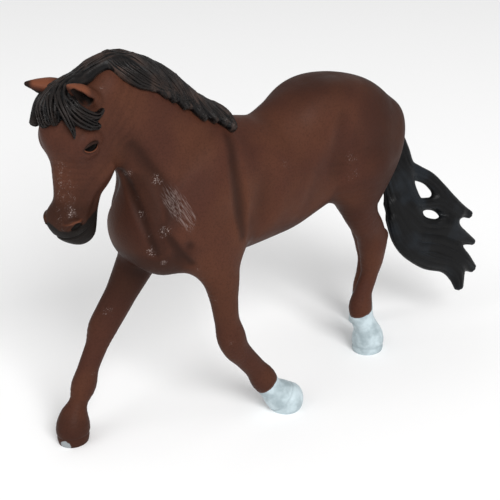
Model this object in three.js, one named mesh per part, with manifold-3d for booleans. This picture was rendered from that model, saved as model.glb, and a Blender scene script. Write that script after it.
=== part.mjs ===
// Toy horse: a bay farm horse at the trot, sculpted from smooth masses and divided into mouldings.
// Millimetres, +Z up. The horse heads along -X, its left side faces -Y, and its soles stand on Z = 0.
// While it is sculpted, X = 0 lies under the withers and Y = 0 is the middle of the horse.
// The finished group is moved so that the origin is the middle of its footprint.

import * as THREE from "three";
import { mergeVertices, toCreasedNormals } from "three/addons/utils/BufferGeometryUtils.js";
import Module from "manifold-3d";

const wasm = await Module();
wasm.setup();

// Driving sizes of the horse
const crestHeight = 100; // ground to the top of the neck, without the mane
const trunkLength = 100; // breast to the root of the tail
const trunkDepth = 40; // withers to the lowest of the chest
const trunkWidth = 26; // across the ribs
const neckReach = 30; // withers to poll, level
const neckDepth = 32; // crest to underside at the shoulder
const neckWidth = 18; // across the neck at the shoulder
const headLength = 40; // poll to lips
const headDepth = 20; // forehead to jaw
const headWidth = 12; // across the eyes
const earLength = 10.5;
const earWidth = 5.4;
const stanceWidth = 20; // middle of a left leg to middle of a right leg
const limbDepth = 10; // front to back of a forearm
const limbWidth = 8; // across a forearm
const hoofLength = 9.8;
const hoofWidth = 8.4;
const maneSwing = 11; // how far a lock of the mane runs back along the crest
const maneDrop = 7; // how far it hangs down the left side
const maneLock = 4.4; // breadth of a lock
const maneThickness = 3.2;
const forelockLength = 16;
const forelockLock = 4;
const forelockThickness = 3.2;
const tailLength = 48; // root to tip, straight down
const tailSweep = 30; // how far the tail streams back
const tailSwing = 13; // how far it swings to the left
const tailLock = 6.4; // breadth of a lock
const tailThickness = 3.4;

// Turns of the head and ears, in degrees
const headTilt = 11; // nose ahead of the poll
const headTurn = 12; // towards the horse's left
const maneLean = 50; // how far the fall of the mane leans out from straight down

// Joints between the mouldings
const joinGap = 0.3; // between slanted faces, and between hair and skin
const legJoinHeight = 42; // level of the faces where the legs meet the trunk
const legPegDiameter = 3.2;
const legPegLength = 5;
const footPegDiameter = 2.4;
const footPegLength = 2.4;
const neckPegDiameter = 5;
const neckPegLength = 5;
const halfPinDiameter = 3;
const halfPinLength = 4;
const tailPegDiameter = 2.6;
const tailPegLength = 6;
const pegClearance = 0.25; // round a peg, and past its end
const hollowLength = 44; // inside of the trunk
const hollowDepth = 20;
const hollowWidth = 15;

// Roundness of the sculpt: how widely neighbouring masses melt into each other
const fleshBlend = 7;
const muscleBlend = 4;
const limbBlend = 2.5;
const featureBlend = 1.4;
const lockBlend = 1;

// Facet sizes of the moulded skins
const trunkFacet = 3.1;
const headFacet = 2.05;
const earFacet = 0.72;
const legFacet = 2.2;
const footFacet = 1.8;
const hairFacet = 1.55;
const tailFacet = 1.8;
const swell = 0.012; // corners stand out by this times the facet squared, so that facets keep the girth
const overrun = 3; // how far a cutting block runs past what it cuts

const settleSteps = 3; // steps of a corner on its way to the skin
const probeShare = 0.05; // reach over which the slope of a field is measured, of the facet
const pegSides = 12;
const ballSides = 12;
const crease = 40; // edges sharper than this many degrees are shaded sharp
const limbSteps = 3; // tapers between two stations of a limb

// Places along the trunk, from the withers
const foreRootShare = -0.06;
const hindRootShare = 0.45;

// Trunk masses on the middle line
// x of trunkLength, z of crestHeight, half sizes of trunkLength, trunkWidth and trunkDepth, tilt in degrees
const trunkShares = [
  [-0.03, 0.63, 0.22, 0.445, 0.43, 3],
  [0.15, 0.62, 0.26, 0.48, 0.405, -2],
  [0.395, 0.68, 0.225, 0.45, 0.415, -6],
  [-0.03, 0.74, 0.12, 0.13, 0.15, -20],
  [0.27, 0.725, 0.11, 0.3, 0.24, 20],
  [-0.17, 0.6, 0.13, 0.38, 0.32, -15],
  [0.59, 0.66, 0.06, 0.18, 0.16, -40],
];

// Paired muscle masses
// x of trunkLength, y of trunkWidth, z of crestHeight, half sizes of length, width and depth, tilt
const muscleShares = [
  [-0.2, 0.19, 0.57, 0.075, 0.2, 0.22, 15],
  [-0.095, 0.28, 0.665, 0.075, 0.19, 0.33, -38],
  [-0.085, 0.31, 0.545, 0.095, 0.17, 0.2, 20],
  [0.41, 0.2, 0.735, 0.175, 0.24, 0.235, -18],
  [0.46, 0.27, 0.615, 0.115, 0.2, 0.33, 2],
  [0.55, 0.2, 0.64, 0.055, 0.17, 0.25, -14],
];

// Paired hollows in the skin, in the same order: behind the elbow, the flank, and the dip above the elbow
const hollowShares = [
  [0.045, 0.6, 0.6, 0.035, 0.14, 0.3, -8],
  [0.285, 0.58, 0.62, 0.055, 0.12, 0.28, -30],
  [-0.17, 0.66, 0.7, 0.03, 0.14, 0.28, -42],
];

// Neck stations: x of neckReach from the withers, z of crestHeight, half depth of neckDepth and
// half width of neckWidth
const neckShares = [
  [-0.28, 0.675, 0.415, 0.5],
  [-0.55, 0.782, 0.375, 0.42],
  [-0.82, 0.872, 0.345, 0.36],
  [-1.07, 0.93, 0.265, 0.3],
];

const pollShares = [-1.17, 0.97]; // x of neckReach, z of crestHeight

// Head masses, from the poll: down of headLength, forward of headDepth, side of headWidth,
// half sizes of headLength, headDepth and headWidth; a side other than zero makes a pair
const headShares = [
  [0.23, 0.18, 0, 0.2, 0.405, 0.47],
  [0.4, -0.1, 0.2, 0.2, 0.29, 0.25],
  [0.3, 0.27, 0.36, 0.085, 0.15, 0.15],
  [0.775, 0.1, 0, 0.115, 0.25, 0.31],
  [0.75, 0.23, 0.2, 0.06, 0.11, 0.14],
  [0.845, -0.055, 0, 0.06, 0.11, 0.2],
];
// Stations of the nose and of the lower jaw: down, forward, half depth of headDepth and
// half width of headWidth
const noseShares = [
  [0.3, 0.11, 0.31, 0.43],
  [0.44, 0.12, 0.27, 0.36],
  [0.58, 0.115, 0.23, 0.3],
  [0.74, 0.1, 0.21, 0.27],
];
const jawShares = [
  [0.45, -0.22, 0.135, 0.25],
  [0.62, -0.16, 0.115, 0.21],
  [0.82, -0.09, 0.1, 0.19],
];
const neckJoinShares = [0.36, -0.475]; // place of the face where the head meets the neck: down and forward
const eyeShares = [0.315, 0.155, 0.47]; // down, forward and side
const eyeBallShare = 0.13; // radius, of headWidth
const nostrilShares = [0.775, 0.235, 0.265];
const nostrilBallShare = 0.1;
const earShares = [0.06, 0.15, 0.3]; // middle of an ear's base
// The left and the right ear: pricked above straight ahead and turned outwards, in degrees,
// length of earLength and breadth of earWidth
const earAims = [
  [21, 11, 0.78, 0.86],
  [9, 22, 0.83, 1.08],
];
// Leaf of an ear: place of earLength, half depth and half width of earWidth
const earLeafShares = [
  [-0.1, 0.4, 0.44],
  [0.3, 0.42, 0.5],
  [0.68, 0.28, 0.36],
  [1, 0.1, 0.1],
];
// Cup of an ear: place of earLength, radius and shift of earWidth
const earCupShares = [
  [0.2, 0.26, 0.3],
  [0.55, 0.24, 0.26],
  [0.84, 0.12, 0.16],
];
const earOpenShare = 0.8; // how far the cup opens to the side

// Leg stations down to the fetlock, from the root of the leg
// x of crestHeight, y of stanceWidth, z of crestHeight, half depth of limbDepth, half width of limbWidth
const foreLeftShares = [
  [0, 0.4, 0.55, 0.74, 0.56],
  [-0.008, 0.45, 0.47, 0.58, 0.54],
  [-0.003, 0.475, 0.43, 0.48, 0.49],
  [0.002, 0.49, 0.372, 0.37, 0.4],
  [0.008, 0.5, 0.315, 0.335, 0.36],
  [0.02, 0.51, 0.262, 0.39, 0.42],
  [0.034, 0.52, 0.224, 0.35, 0.38],
  [0.059, 0.54, 0.189, 0.3, 0.32],
  [0.089, 0.565, 0.148, 0.29, 0.31],
  [0.117, 0.59, 0.103, 0.36, 0.39],
];
const foreRightShares = [
  [-0.06, 0.38, 0.56, 0.85, 0.62],
  [-0.117, 0.43, 0.475, 0.61, 0.54],
  [-0.146, 0.48, 0.42, 0.5, 0.51],
  [-0.174, 0.52, 0.369, 0.43, 0.45],
  [-0.201, 0.54, 0.329, 0.42, 0.43],
  [-0.227, 0.56, 0.29, 0.4, 0.42],
  [-0.249, 0.565, 0.243, 0.3, 0.33],
  [-0.276, 0.57, 0.191, 0.285, 0.305],
  [-0.294, 0.575, 0.143, 0.34, 0.365],
];
const hindLeftShares = [
  [-0.015, 0.4, 0.6, 0.95, 0.7],
  [-0.012, 0.37, 0.53, 0.72, 0.62],
  [-0.01, 0.36, 0.486, 0.54, 0.58],
  [0.016, 0.36, 0.436, 0.48, 0.5],
  [0.05, 0.33, 0.39, 0.46, 0.46],
  [0.07, 0.31, 0.341, 0.45, 0.45],
  [0.073, 0.3, 0.284, 0.36, 0.38],
  [0.066, 0.29, 0.234, 0.27, 0.29],
  [0.046, 0.29, 0.188, 0.285, 0.31],
  [0.038, 0.29, 0.144, 0.37, 0.39],
];
const hindRightShares = [
  [0.01, 0.4, 0.6, 0.95, 0.7],
  [0.05, 0.4, 0.53, 0.8, 0.66],
  [0.09, 0.38, 0.47, 0.6, 0.58],
  [0.118, 0.35, 0.41, 0.48, 0.5],
  [0.147, 0.32, 0.36, 0.43, 0.45],
  [0.167, 0.3, 0.312, 0.41, 0.42],
  [0.175, 0.295, 0.26, 0.34, 0.36],
  [0.178, 0.29, 0.21, 0.26, 0.29],
  [0.175, 0.29, 0.165, 0.27, 0.3],
  [0.17, 0.29, 0.12, 0.32, 0.35],
];
// Point of the hock, behind its station: back and up of limbDepth, half size of limbDepth
const hockShares = [0.36, 0.16, 0.2];
const hockStation = 5;

// Feet: pastern, coronet and hoof; x of crestHeight from the root of the leg, y of stanceWidth,
// z of crestHeight, half depth of hoofLength, half width of hoofWidth
const footShares = {
  fore_left: [
    [0.137, 0.62, 0.067, 0.28, 0.31],
    [0.155, 0.655, 0.048, 0.39, 0.42],
    [0.176, 0.69, 0.024, 0.46, 0.49],
  ],
  fore_right: [
    [-0.313, 0.57, 0.108, 0.235, 0.265],
    [-0.331, 0.55, 0.075, 0.38, 0.42],
    [-0.339, 0.53, 0.036, 0.45, 0.48],
    [-0.341, 0.52, -0.01, 0.4, 0.43],
  ],
  hind_left: [
    [0.044, 0.3, 0.105, 0.31, 0.34],
    [0.057, 0.34, 0.067, 0.39, 0.42],
    [0.062, 0.36, 0.03, 0.51, 0.53],
    [0.06, 0.37, -0.01, 0.47, 0.49],
  ],
  hind_right: [
    [0.169, 0.29, 0.085, 0.29, 0.32],
    [0.17, 0.29, 0.055, 0.36, 0.39],
    [0.171, 0.29, -0.01, 0.42, 0.46],
  ],
};
const footJoinShare = 0.35; // where the foot's moulding starts, of the way from fetlock to pastern

// Crest line of the mane: x of neckReach, z of crestHeight
const crestShares = [
  [-0.02, 0.838],
  [-0.21, 0.872],
  [-0.47, 0.935],
  [-0.75, 0.985],
  [-1.0, 1.0],
  [-1.22, 0.985],
];
// Mantle of the mane over the crest: rest above the skin, shift to the left, half breadth and fullness of
// its ends, the first three of maneThickness
const mantleShares = [0.18, 0.3, 1.1, 0.6];
const mantleFrontShare = 0.55; // breadth and shift of the mantle at its front end, of those at its rear
const lockTipShare = 0.55; // how much of its breadth a lock loses on the way to its tip
const lockRestShare = 0.3; // how far a lock's middle lies above the skin, of its thickness
const maneStepShares = [0, 0.35, 0.7, 1]; // stations along a lock of the mane
const maneCurl = 1.5; // how late a lock turns down, as a power of its run
const maneLocks = 10;
const manePartShare = 0.82; // where the first lock that runs back starts, along the crest from the withers
const maneFrontShares = [0.6, 1.05]; // where the locks that run forward start and end, along the crest
const maneFrontRows = [-0.12, 0.14]; // how low they lie, of maneDrop
const maneDivideShare = -1.2; // where the mane ends and the forelock starts, of neckReach

// Forelock locks: down, forward and side of the head, each of forelockLength, from the poll
const forelockShares = [
  [
    [-0.14, 0.08, 0.03],
    [0.06, 0.47, 0.2],
    [0.24, 0.58, 0.35],
    [0.42, 0.63, 0.37],
    [0.55, 0.66, 0.25],
  ],
  [
    [-0.14, 0.08, 0.02],
    [0, 0.42, 0.04],
    [0.18, 0.59, 0.06],
    [0.38, 0.66, 0.05],
    [0.53, 0.67, -0.05],
  ],
  [
    [-0.13, 0.1, 0.01],
    [0.1, 0.5, 0],
    [0.27, 0.6, -0.05],
    [0.41, 0.63, -0.1],
    [0.5, 0.63, -0.17],
  ],
  [
    [-0.13, 0.1, 0],
    [0.14, 0.54, -0.06],
    [0.31, 0.59, -0.16],
    [0.44, 0.57, -0.24],
    [0.56, 0.54, -0.33],
    [0.65, 0.54, -0.37],
  ],
  [
    [0, 0.4, -0.03],
    [0.26, 0.54, -0.21],
    [0.39, 0.47, -0.31],
    [0.47, 0.35, -0.41],
    [0.5, 0.19, -0.44],
  ],
  [
    [0, 0.4, -0.05],
    [0.18, 0.52, -0.17],
    [0.29, 0.47, -0.28],
    [0.36, 0.33, -0.37],
    [0.36, 0.19, -0.42],
    [0.28, 0.09, -0.43],
  ],
];

// Tail locks, from the root: back of tailSweep, left of tailSwing, down of tailLength, breadth of tailLock
const tailShares = [
  [
    [-0.16, 0, -0.19, 0.7],
    [-0.06, 0.05, -0.1, 0.8],
    [0.01, 0.16, 0.03, 0.92],
    [0.07, 0.25, 0.13, 0.86],
    [0.18, 0.34, 0.175, 0.74],
    [0.31, 0.45, 0.225, 0.68],
    [0.43, 0.57, 0.31, 0.72],
    [0.55, 0.67, 0.4, 0.75],
    [0.66, 0.76, 0.465, 0.65],
    [0.775, 0.86, 0.51, 0.42],
  ],
  [
    [-0.11, 0.16, 0.07, 0.8],
    [-0.02, 0.27, 0.17, 1.05],
    [0.055, 0.37, 0.27, 0.85],
    [0.15, 0.48, 0.36, 0.64],
    [0.28, 0.54, 0.38, 0.6],
    [0.4, 0.6, 0.395, 0.8],
    [0.5, 0.69, 0.44, 0.85],
    [0.62, 0.78, 0.5, 0.75],
  ],
  [
    [-0.17, 0.21, 0.16, 0.6],
    [-0.11, 0.33, 0.3, 0.95],
    [0.01, 0.46, 0.41, 1.2],
    [0.15, 0.58, 0.5, 1.05],
    [0.3, 0.68, 0.535, 0.92],
    [0.44, 0.78, 0.555, 1.15],
    [0.64, 0.91, 0.635, 0.78],
    [0.79, 1, 0.69, 0.36],
  ],
  [
    [-0.16, 0.33, 0.32, 0.6],
    [-0.09, 0.47, 0.46, 0.95],
    [0.05, 0.63, 0.6, 1.2],
    [0.28, 0.76, 0.65, 1.15],
    [0.5, 0.91, 0.72, 1.15],
    [0.64, 1.03, 0.795, 0.95],
    [0.76, 1.12, 0.86, 0.5],
  ],
  [
    [-0.17, 0.4, 0.42, 0.4],
    [-0.11, 0.52, 0.54, 0.62],
    [0.03, 0.66, 0.65, 0.78],
    [0.22, 0.8, 0.73, 0.95],
    [0.44, 0.94, 0.79, 0.9],
    [0.55, 1.05, 0.87, 0.83],
    [0.575, 1.12, 0.955, 0.5],
  ],
];
const tailRootShares = [0.66, 0.585]; // x of trunkLength, z of crestHeight
const tailPegShares = [0.648, -0.1, 0.55]; // x of trunkLength, y of trunkWidth, z of crestHeight

// Locating pins of the two trunk halves: x of trunkLength, z of crestHeight
const pinShares = [
  [-0.2, 0.62],
  [-0.13, 0.8],
  [0.47, 0.7],
];
const hollowPlaceShares = [0.14, 0.64]; // middle of the hollow: x of trunkLength, z of crestHeight
// Room round the skins while they are faceted: beside the head of headWidth, behind the trunk of trunkLength,
// beside it of trunkWidth, and round a leg of limbDepth
const boxShares = [0.8, 0.72, 0.7, 0.9];

const degrees = Math.PI / 180;
const side = new THREE.Vector3(0, 1, 0);

// Field of one ellipsoid whose long axes are turned about the Y axis
function ellipsoid(centre, radii, tilt = 0) {
  const cos = Math.cos(tilt * degrees);
  const sin = Math.sin(tilt * degrees);
  const [rx, ry, rz] = radii;
  const reach = Math.max(rx, ry, rz);
  const distance = (x, y, z) => {
    const dx = x - centre.x;
    const dy = y - centre.y;
    const dz = z - centre.z;
    const along = (dx * cos + dz * sin) / rx;
    const across = dy / ry;
    const up = (dz * cos - dx * sin) / rz;
    const share = Math.hypot(along, across, up);
    const slope = Math.hypot(along / rx, across / ry, up / rz);
    return slope > 0 ? (share * (share - 1)) / slope : -Math.min(rx, ry, rz);
  };
  return { centre, reach, distance };
}

// Field of one tapered, flattened length between two stations { at, depth, width }
// The width is measured along the given direction, and the depth square to it
function taper(start, end, widthways = side) {
  const axis = end.at.clone().sub(start.at);
  const length = axis.length();
  axis.normalize();
  const wide = widthways.clone().addScaledVector(axis, -widthways.dot(axis)).normalize();
  const deep = wide.clone().cross(axis);
  const centre = start.at.clone().lerp(end.at, 1 / 2);
  const reach = length / 2 + Math.max(start.depth, start.width, end.depth, end.width);
  const from = start.at;
  const distance = (x, y, z) => {
    const dx = x - from.x;
    const dy = y - from.y;
    const dz = z - from.z;
    const run = dx * axis.x + dy * axis.y + dz * axis.z;
    const share = Math.min(Math.max(run / length, 0), 1);
    const depth = start.depth + (end.depth - start.depth) * share;
    const width = start.width + (end.width - start.width) * share;
    const tip = Math.min(depth, width);
    const u = (dx * deep.x + dy * deep.y + dz * deep.z) / depth;
    const v = (dx * wide.x + dy * wide.y + dz * wide.z) / width;
    const w = (run - share * length) / tip;
    const radius = Math.hypot(u, v, w);
    const slope = Math.hypot(u / depth, v / width, w / tip);
    return slope > 0 ? (radius * (radius - 1)) / slope : -tip;
  };
  return { centre, reach, distance };
}

// Field of a limb: a smooth run of tapers through its stations, with no bulge where they meet
function limb(stations, widthways = side) {
  const last = stations.length - 1;
  const path = new THREE.CatmullRomCurve3(stations.map(({ at }) => at));
  const sizes = stations.map(({ depth, width }) => new THREE.Vector3(depth, width, 0));
  const girth = new THREE.CatmullRomCurve3(sizes);
  const fine = Array.from({ length: limbSteps * last + 1 }, (unused, i) => {
    const share = i / (limbSteps * last);
    const size = girth.getPoint(share);
    const station = Math.min(Math.floor(share * last), last - 1);
    const wide = stations[station].wide ?? widthways;
    return { at: path.getPoint(share), depth: size.x, width: size.y, wide };
  });
  const tapers = fine.slice(1).map((station, i) => taper(fine[i], station, station.wide));
  const bounds = new THREE.Box3().setFromPoints(tapers.map(({ centre }) => centre));
  const centre = bounds.getCenter(new THREE.Vector3());
  const reach = Math.max(...tapers.map((each) => each.centre.distanceTo(centre) + each.reach));
  const distance = (x, y, z) => {
    let least = Infinity;
    for (const each of tapers) {
      const c = each.centre;
      if (Math.hypot(x - c.x, y - c.y, z - c.z) - each.reach < least) {
        least = Math.min(least, each.distance(x, y, z));
      }
    }
    return least;
  };
  return { centre, reach, distance };
}

// Smooth union of two distances: they melt into each other within the given width
function melt(a, b, width) {
  const near = Math.max(width - Math.abs(a - b), 0) / width;
  return Math.min(a, b) - (near * near * width) / 4;
}

// A sculpt is a list of masses that are joined, or cut away, one after another
class Sculpt {
  constructor() {
    this.steps = [];
  }

  add(mass, blend) {
    this.steps.push({ mass, blend, cut: false });
    return this;
  }

  cut(mass, blend) {
    this.steps.push({ mass, blend, cut: true });
    return this;
  }

  at(x, y, z) {
    let value = Infinity;
    for (const { mass, blend, cut } of this.steps) {
      const c = mass.centre;
      const least = Math.hypot(x - c.x, y - c.y, z - c.z) - mass.reach;
      if (cut) {
        if (least > blend - value) continue;
        value = -melt(-value, mass.distance(x, y, z), blend);
      } else {
        if (least > value + blend) continue;
        const d = mass.distance(x, y, z);
        value = value === Infinity ? d : melt(value, d, blend);
      }
    }
    return value;
  }
}

// Slope of a field at a point
function slopeAt(field, p, reach) {
  return new THREE.Vector3(
    field(p.x + reach, p.y, p.z) - field(p.x - reach, p.y, p.z),
    field(p.x, p.y + reach, p.z) - field(p.x, p.y - reach, p.z),
    field(p.x, p.y, p.z + reach) - field(p.x, p.y, p.z - reach),
  ).divideScalar(2 * reach);
}

// Moves a point along the slope until the field there has the wanted value
function settle(field, p, value, reach, most = Infinity) {
  const from = p.clone();
  for (let i = 0; i < settleSteps; i += 1) {
    const slope = slopeAt(field, p, reach);
    const steep = slope.lengthSq();
    if (!(steep > 0)) break;
    p.addScaledVector(slope, (value - field(p.x, p.y, p.z)) / steep);
  }
  if (p.distanceTo(from) > most) p.copy(from);
  return p;
}

// The six faces of a grid cell as rings of corners, and its twelve edges; a corner's bits are x, y and z
const cellFaces = [
  [0, 2, 6, 4],
  [1, 3, 7, 5],
  [0, 1, 5, 4],
  [2, 3, 7, 6],
  [0, 1, 3, 2],
  [4, 5, 7, 6],
];
const cellEdges = [];
for (let axis = 0; axis < 3; axis += 1) {
  for (let corner = 0; corner < 8; corner += 1) {
    if (!(corner & (1 << axis))) cellEdges.push([corner, corner | (1 << axis)]);
  }
}
const edgeOf = (a, b) => cellEdges.findIndex(([c, d]) => (c === a && d === b) || (c === b && d === a));
const faceEdges = cellFaces.map((ring) => ring.map((corner, i) => edgeOf(corner, ring[(i + 1) % 4])));

// Crossing edges of a cell in loops, one loop for each sheet of skin that passes through the cell
function loopsOf(inside) {
  const owner = cellEdges.map((edge, i) => i);
  const root = (i) => (owner[i] === i ? i : root(owner[i]));
  const crossed = cellEdges.map(([a, b]) => inside[a] !== inside[b]);
  cellFaces.forEach((ring, f) => {
    const edges = faceEdges[f];
    const met = edges.filter((e) => crossed[e]);
    if (met.length === 2) owner[root(met[0])] = root(met[1]);
    if (met.length === 4) {
      ring.forEach((corner, i) => {
        if (inside[corner]) owner[root(edges[i])] = root(edges[(i + 3) % 4]);
      });
    }
  });
  return cellEdges.map((edge, i) => (crossed[i] ? root(i) : -1));
}
const loopTable = [];
const cellCorners = [0, 1, 2, 3, 4, 5, 6, 7];
for (let code = 0; code < 256; code += 1) {
  loopTable.push(loopsOf(cellCorners.map((corner) => Boolean(code & (1 << corner)))));
}

// Closed skin of a field inside a box, as a solid: one vertex for each sheet in each grid cell
function skin(field, box, facet) {
  const size = box.getSize(new THREE.Vector3());
  const nx = Math.ceil(size.x / facet) + 1;
  const ny = Math.ceil(size.y / facet) + 1;
  const nz = Math.ceil(size.z / facet) + 1;
  const node = (i, j, k) => i + nx * (j + ny * k);
  const values = new Float64Array(nx * ny * nz);
  for (let k = 0; k < nz; k += 1) {
    for (let j = 0; j < ny; j += 1) {
      for (let i = 0; i < nx; i += 1) {
        const rim = i === 0 || j === 0 || k === 0 || i === nx - 1 || j === ny - 1 || k === nz - 1;
        const value = field(box.min.x + i * facet, box.min.y + j * facet, box.min.z + k * facet);
        values[node(i, j, k)] = rim ? Math.max(value, facet / 2) : value;
      }
    }
  }
  const points = [];
  const vertexOf = new Map();
  for (let k = 0; k < nz - 1; k += 1) {
    for (let j = 0; j < ny - 1; j += 1) {
      for (let i = 0; i < nx - 1; i += 1) {
        const corners = [];
        let code = 0;
        for (let c = 0; c < 8; c += 1) {
          corners.push(values[node(i + (c & 1), j + ((c >> 1) & 1), k + (c >> 2))]);
          if (corners[c] < 0) code |= 1 << c;
        }
        if (code === 0 || code === 255) continue;
        const loops = loopTable[code];
        const sheets = new Map();
        loops.forEach((loop, e) => {
          if (loop < 0) return;
          const [a, b] = cellEdges[e];
          const share = corners[a] / (corners[a] - corners[b]);
          const place = (bit) => ((a >> bit) & 1) + (((b >> bit) & 1) - ((a >> bit) & 1)) * share;
          const sheet = sheets.get(loop) ?? { sum: new THREE.Vector3(), count: 0, edges: [] };
          sheet.sum.add(new THREE.Vector3(i + place(0), j + place(1), k + place(2)));
          sheet.count += 1;
          sheet.edges.push(e);
          sheets.set(loop, sheet);
        });
        for (const { sum, count, edges } of sheets.values()) {
          const p = sum.multiplyScalar(facet / count).add(box.min);
          edges.forEach((e) => vertexOf.set(node(i, j, k) * 12 + e, points.length));
          points.push(settle(field, p, swell * facet * facet, probeShare * facet, facet / 2));
        }
      }
    }
  }
  const triangles = [];
  const around = [
    [-1, -1],
    [0, -1],
    [0, 0],
    [-1, 0],
  ];
  for (let k = 0; k < nz - 1; k += 1) {
    for (let j = 0; j < ny - 1; j += 1) {
      for (let i = 0; i < nx - 1; i += 1) {
        for (let axis = 0; axis < 3; axis += 1) {
          const here = values[node(i, j, k)] < 0;
          const step = [0, 0, 0];
          step[axis] = 1;
          const there = values[node(i + step[0], j + step[1], k + step[2])] < 0;
          if (here === there) continue;
          const b = (axis + 1) % 3;
          const c = (axis + 2) % 3;
          const quad = around.map(([db, dc]) => {
            const cell = [i, j, k];
            cell[b] += db;
            cell[c] += dc;
            const corner = (-db << b) | (-dc << c);
            return vertexOf.get(node(...cell) * 12 + edgeOf(corner, corner | (1 << axis)));
          });
          if (!here) quad.reverse();
          const [p, q, r, s] = quad;
          const even = points[p].distanceTo(points[r]) <= points[q].distanceTo(points[s]);
          triangles.push(...(even ? [p, q, r, p, r, s] : [q, r, s, q, s, p]));
        }
      }
    }
  }
  return new wasm.Manifold(
    new wasm.Mesh({
      numProp: 3,
      vertProperties: new Float32Array(points.flatMap((p) => [p.x, p.y, p.z])),
      triVerts: new Uint32Array(triangles),
    }),
  );
}

// A solid from a closed three.js geometry
function solidOf(geometry) {
  geometry.deleteAttribute("normal");
  geometry.deleteAttribute("uv");
  const merged = mergeVertices(geometry);
  return new wasm.Manifold(
    new wasm.Mesh({
      numProp: 3,
      vertProperties: merged.attributes.position.array,
      triVerts: new Uint32Array(merged.index.array),
    }),
  );
}

// The largest body of a solid, without the crumbs that a thin edge leaves on the grid
function largest(solid) {
  return solid.decompose().reduce((best, each) => (each.volume() > best.volume() ? each : best));
}

// A block that fills a box
function block(box) {
  const size = box.getSize(new THREE.Vector3());
  const centre = box.getCenter(new THREE.Vector3());
  return solidOf(new THREE.BoxGeometry(size.x, size.y, size.z).translate(centre.x, centre.y, centre.z));
}

// A block as large as a given reach that fills the side of a plane which its normal points to
function halfSpace(point, normal, reach) {
  const geometry = new THREE.BoxGeometry(reach, reach, reach).translate(0, 0, reach / 2);
  geometry.applyQuaternion(
    new THREE.Quaternion().setFromUnitVectors(new THREE.Vector3(0, 0, 1), normal.clone().normalize()),
  );
  return solidOf(geometry.translate(point.x, point.y, point.z));
}

// A round peg from one point along a direction; it starts a little before the point, inside what carries it
function peg(point, direction, diameter, length, root) {
  const geometry = new THREE.CylinderGeometry(diameter / 2, diameter / 2, length + root, pegSides);
  geometry.translate(0, (length - root) / 2, 0);
  geometry.applyQuaternion(new THREE.Quaternion().setFromUnitVectors(side, direction.clone().normalize()));
  return solidOf(geometry.translate(point.x, point.y, point.z));
}

// A peg on one solid and its socket, with the clearance, in another
function pegJoint(male, female, point, direction, diameter, length) {
  return [
    male.add(peg(point, direction, diameter, length, diameter / 2)),
    female.subtract(peg(point, direction, diameter + 2 * pegClearance, length + pegClearance, diameter / 2)),
  ];
}

// Trunk, neck and paired muscles
const body = new Sculpt();

function addTrunk() {
  for (const [x, z, rx, ry, rz, tilt] of trunkShares) {
    const centre = new THREE.Vector3(x * trunkLength, 0, z * crestHeight);
    body.add(ellipsoid(centre, [rx * trunkLength, ry * trunkWidth, rz * trunkDepth], tilt), fleshBlend);
  }
  const stations = neckShares.map(([x, z, depth, width]) => ({
    at: new THREE.Vector3(x * neckReach, 0, z * crestHeight),
    depth: depth * neckDepth,
    width: width * neckWidth,
  }));
  body.add(limb(stations), fleshBlend);
}

function paired(shares) {
  return shares.flatMap(([x, y, z, rx, ry, rz, tilt]) =>
    [-1, 1].map((hand) =>
      ellipsoid(
        new THREE.Vector3(x * trunkLength, hand * y * trunkWidth, z * crestHeight),
        [rx * trunkLength, ry * trunkWidth, rz * trunkDepth],
        tilt,
      ),
    ),
  );
}

addTrunk();
paired(muscleShares).forEach((mass) => body.add(mass, muscleBlend));

// Legs: the chains of stations and the feet, by name
const legs = {
  fore_left: { hand: -1, root: foreRootShare, shares: foreLeftShares },
  fore_right: { hand: 1, root: foreRootShare, shares: foreRightShares },
  hind_left: { hand: -1, root: hindRootShare, shares: hindLeftShares, hock: true },
  hind_right: { hand: 1, root: hindRootShare, shares: hindRightShares, hock: true },
};

function legPoint(leg, [x, y, z]) {
  return new THREE.Vector3(
    leg.root * trunkLength + x * crestHeight,
    leg.hand * y * stanceWidth,
    z * crestHeight,
  );
}

for (const [name, leg] of Object.entries(legs)) {
  leg.stations = leg.shares.map(([x, y, z, depth, width]) => ({
    at: legPoint(leg, [x, y, z]),
    depth: depth * limbDepth,
    width: width * limbWidth,
  }));
  leg.foot = footShares[name].map(([x, y, z, depth, width]) => ({
    at: legPoint(leg, [x, y, z]),
    depth: depth * hoofLength,
    width: width * hoofWidth,
  }));
  body.add(limb([...leg.stations, leg.foot[0]]), muscleBlend);
  if (leg.hock) {
    const hock = leg.stations[hockStation];
    const [back, up, size] = hockShares.map((share) => share * limbDepth);
    const tip = { at: hock.at.clone().add(new THREE.Vector3(back, 0, up)), depth: size, width: size };
    body.add(taper(hock, tip), featureBlend);
  }
  body.add(limb(leg.foot), featureBlend);
}
paired(hollowShares).forEach((mass) => body.cut(mass, muscleBlend));

// Head frame: the poll, and the directions down the face, forward and to the horse's right
const poll = new THREE.Vector3(pollShares[0] * neckReach, 0, pollShares[1] * crestHeight);
const turn = new THREE.Quaternion().setFromAxisAngle(new THREE.Vector3(0, 0, 1), headTurn * degrees);
const tilt = headTilt * degrees;
const down = new THREE.Vector3(-Math.sin(tilt), 0, -Math.cos(tilt)).applyQuaternion(turn);
const forward = new THREE.Vector3(-Math.cos(tilt), 0, Math.sin(tilt)).applyQuaternion(turn);
const right = down.clone().cross(forward).normalize();

function headPoint(d, f, s) {
  return poll
    .clone()
    .addScaledVector(down, d)
    .addScaledVector(forward, f)
    .addScaledVector(right, s);
}
const headPlace = ([d, f, s]) => headPoint(d * headLength, f * headDepth, s * headWidth);

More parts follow.
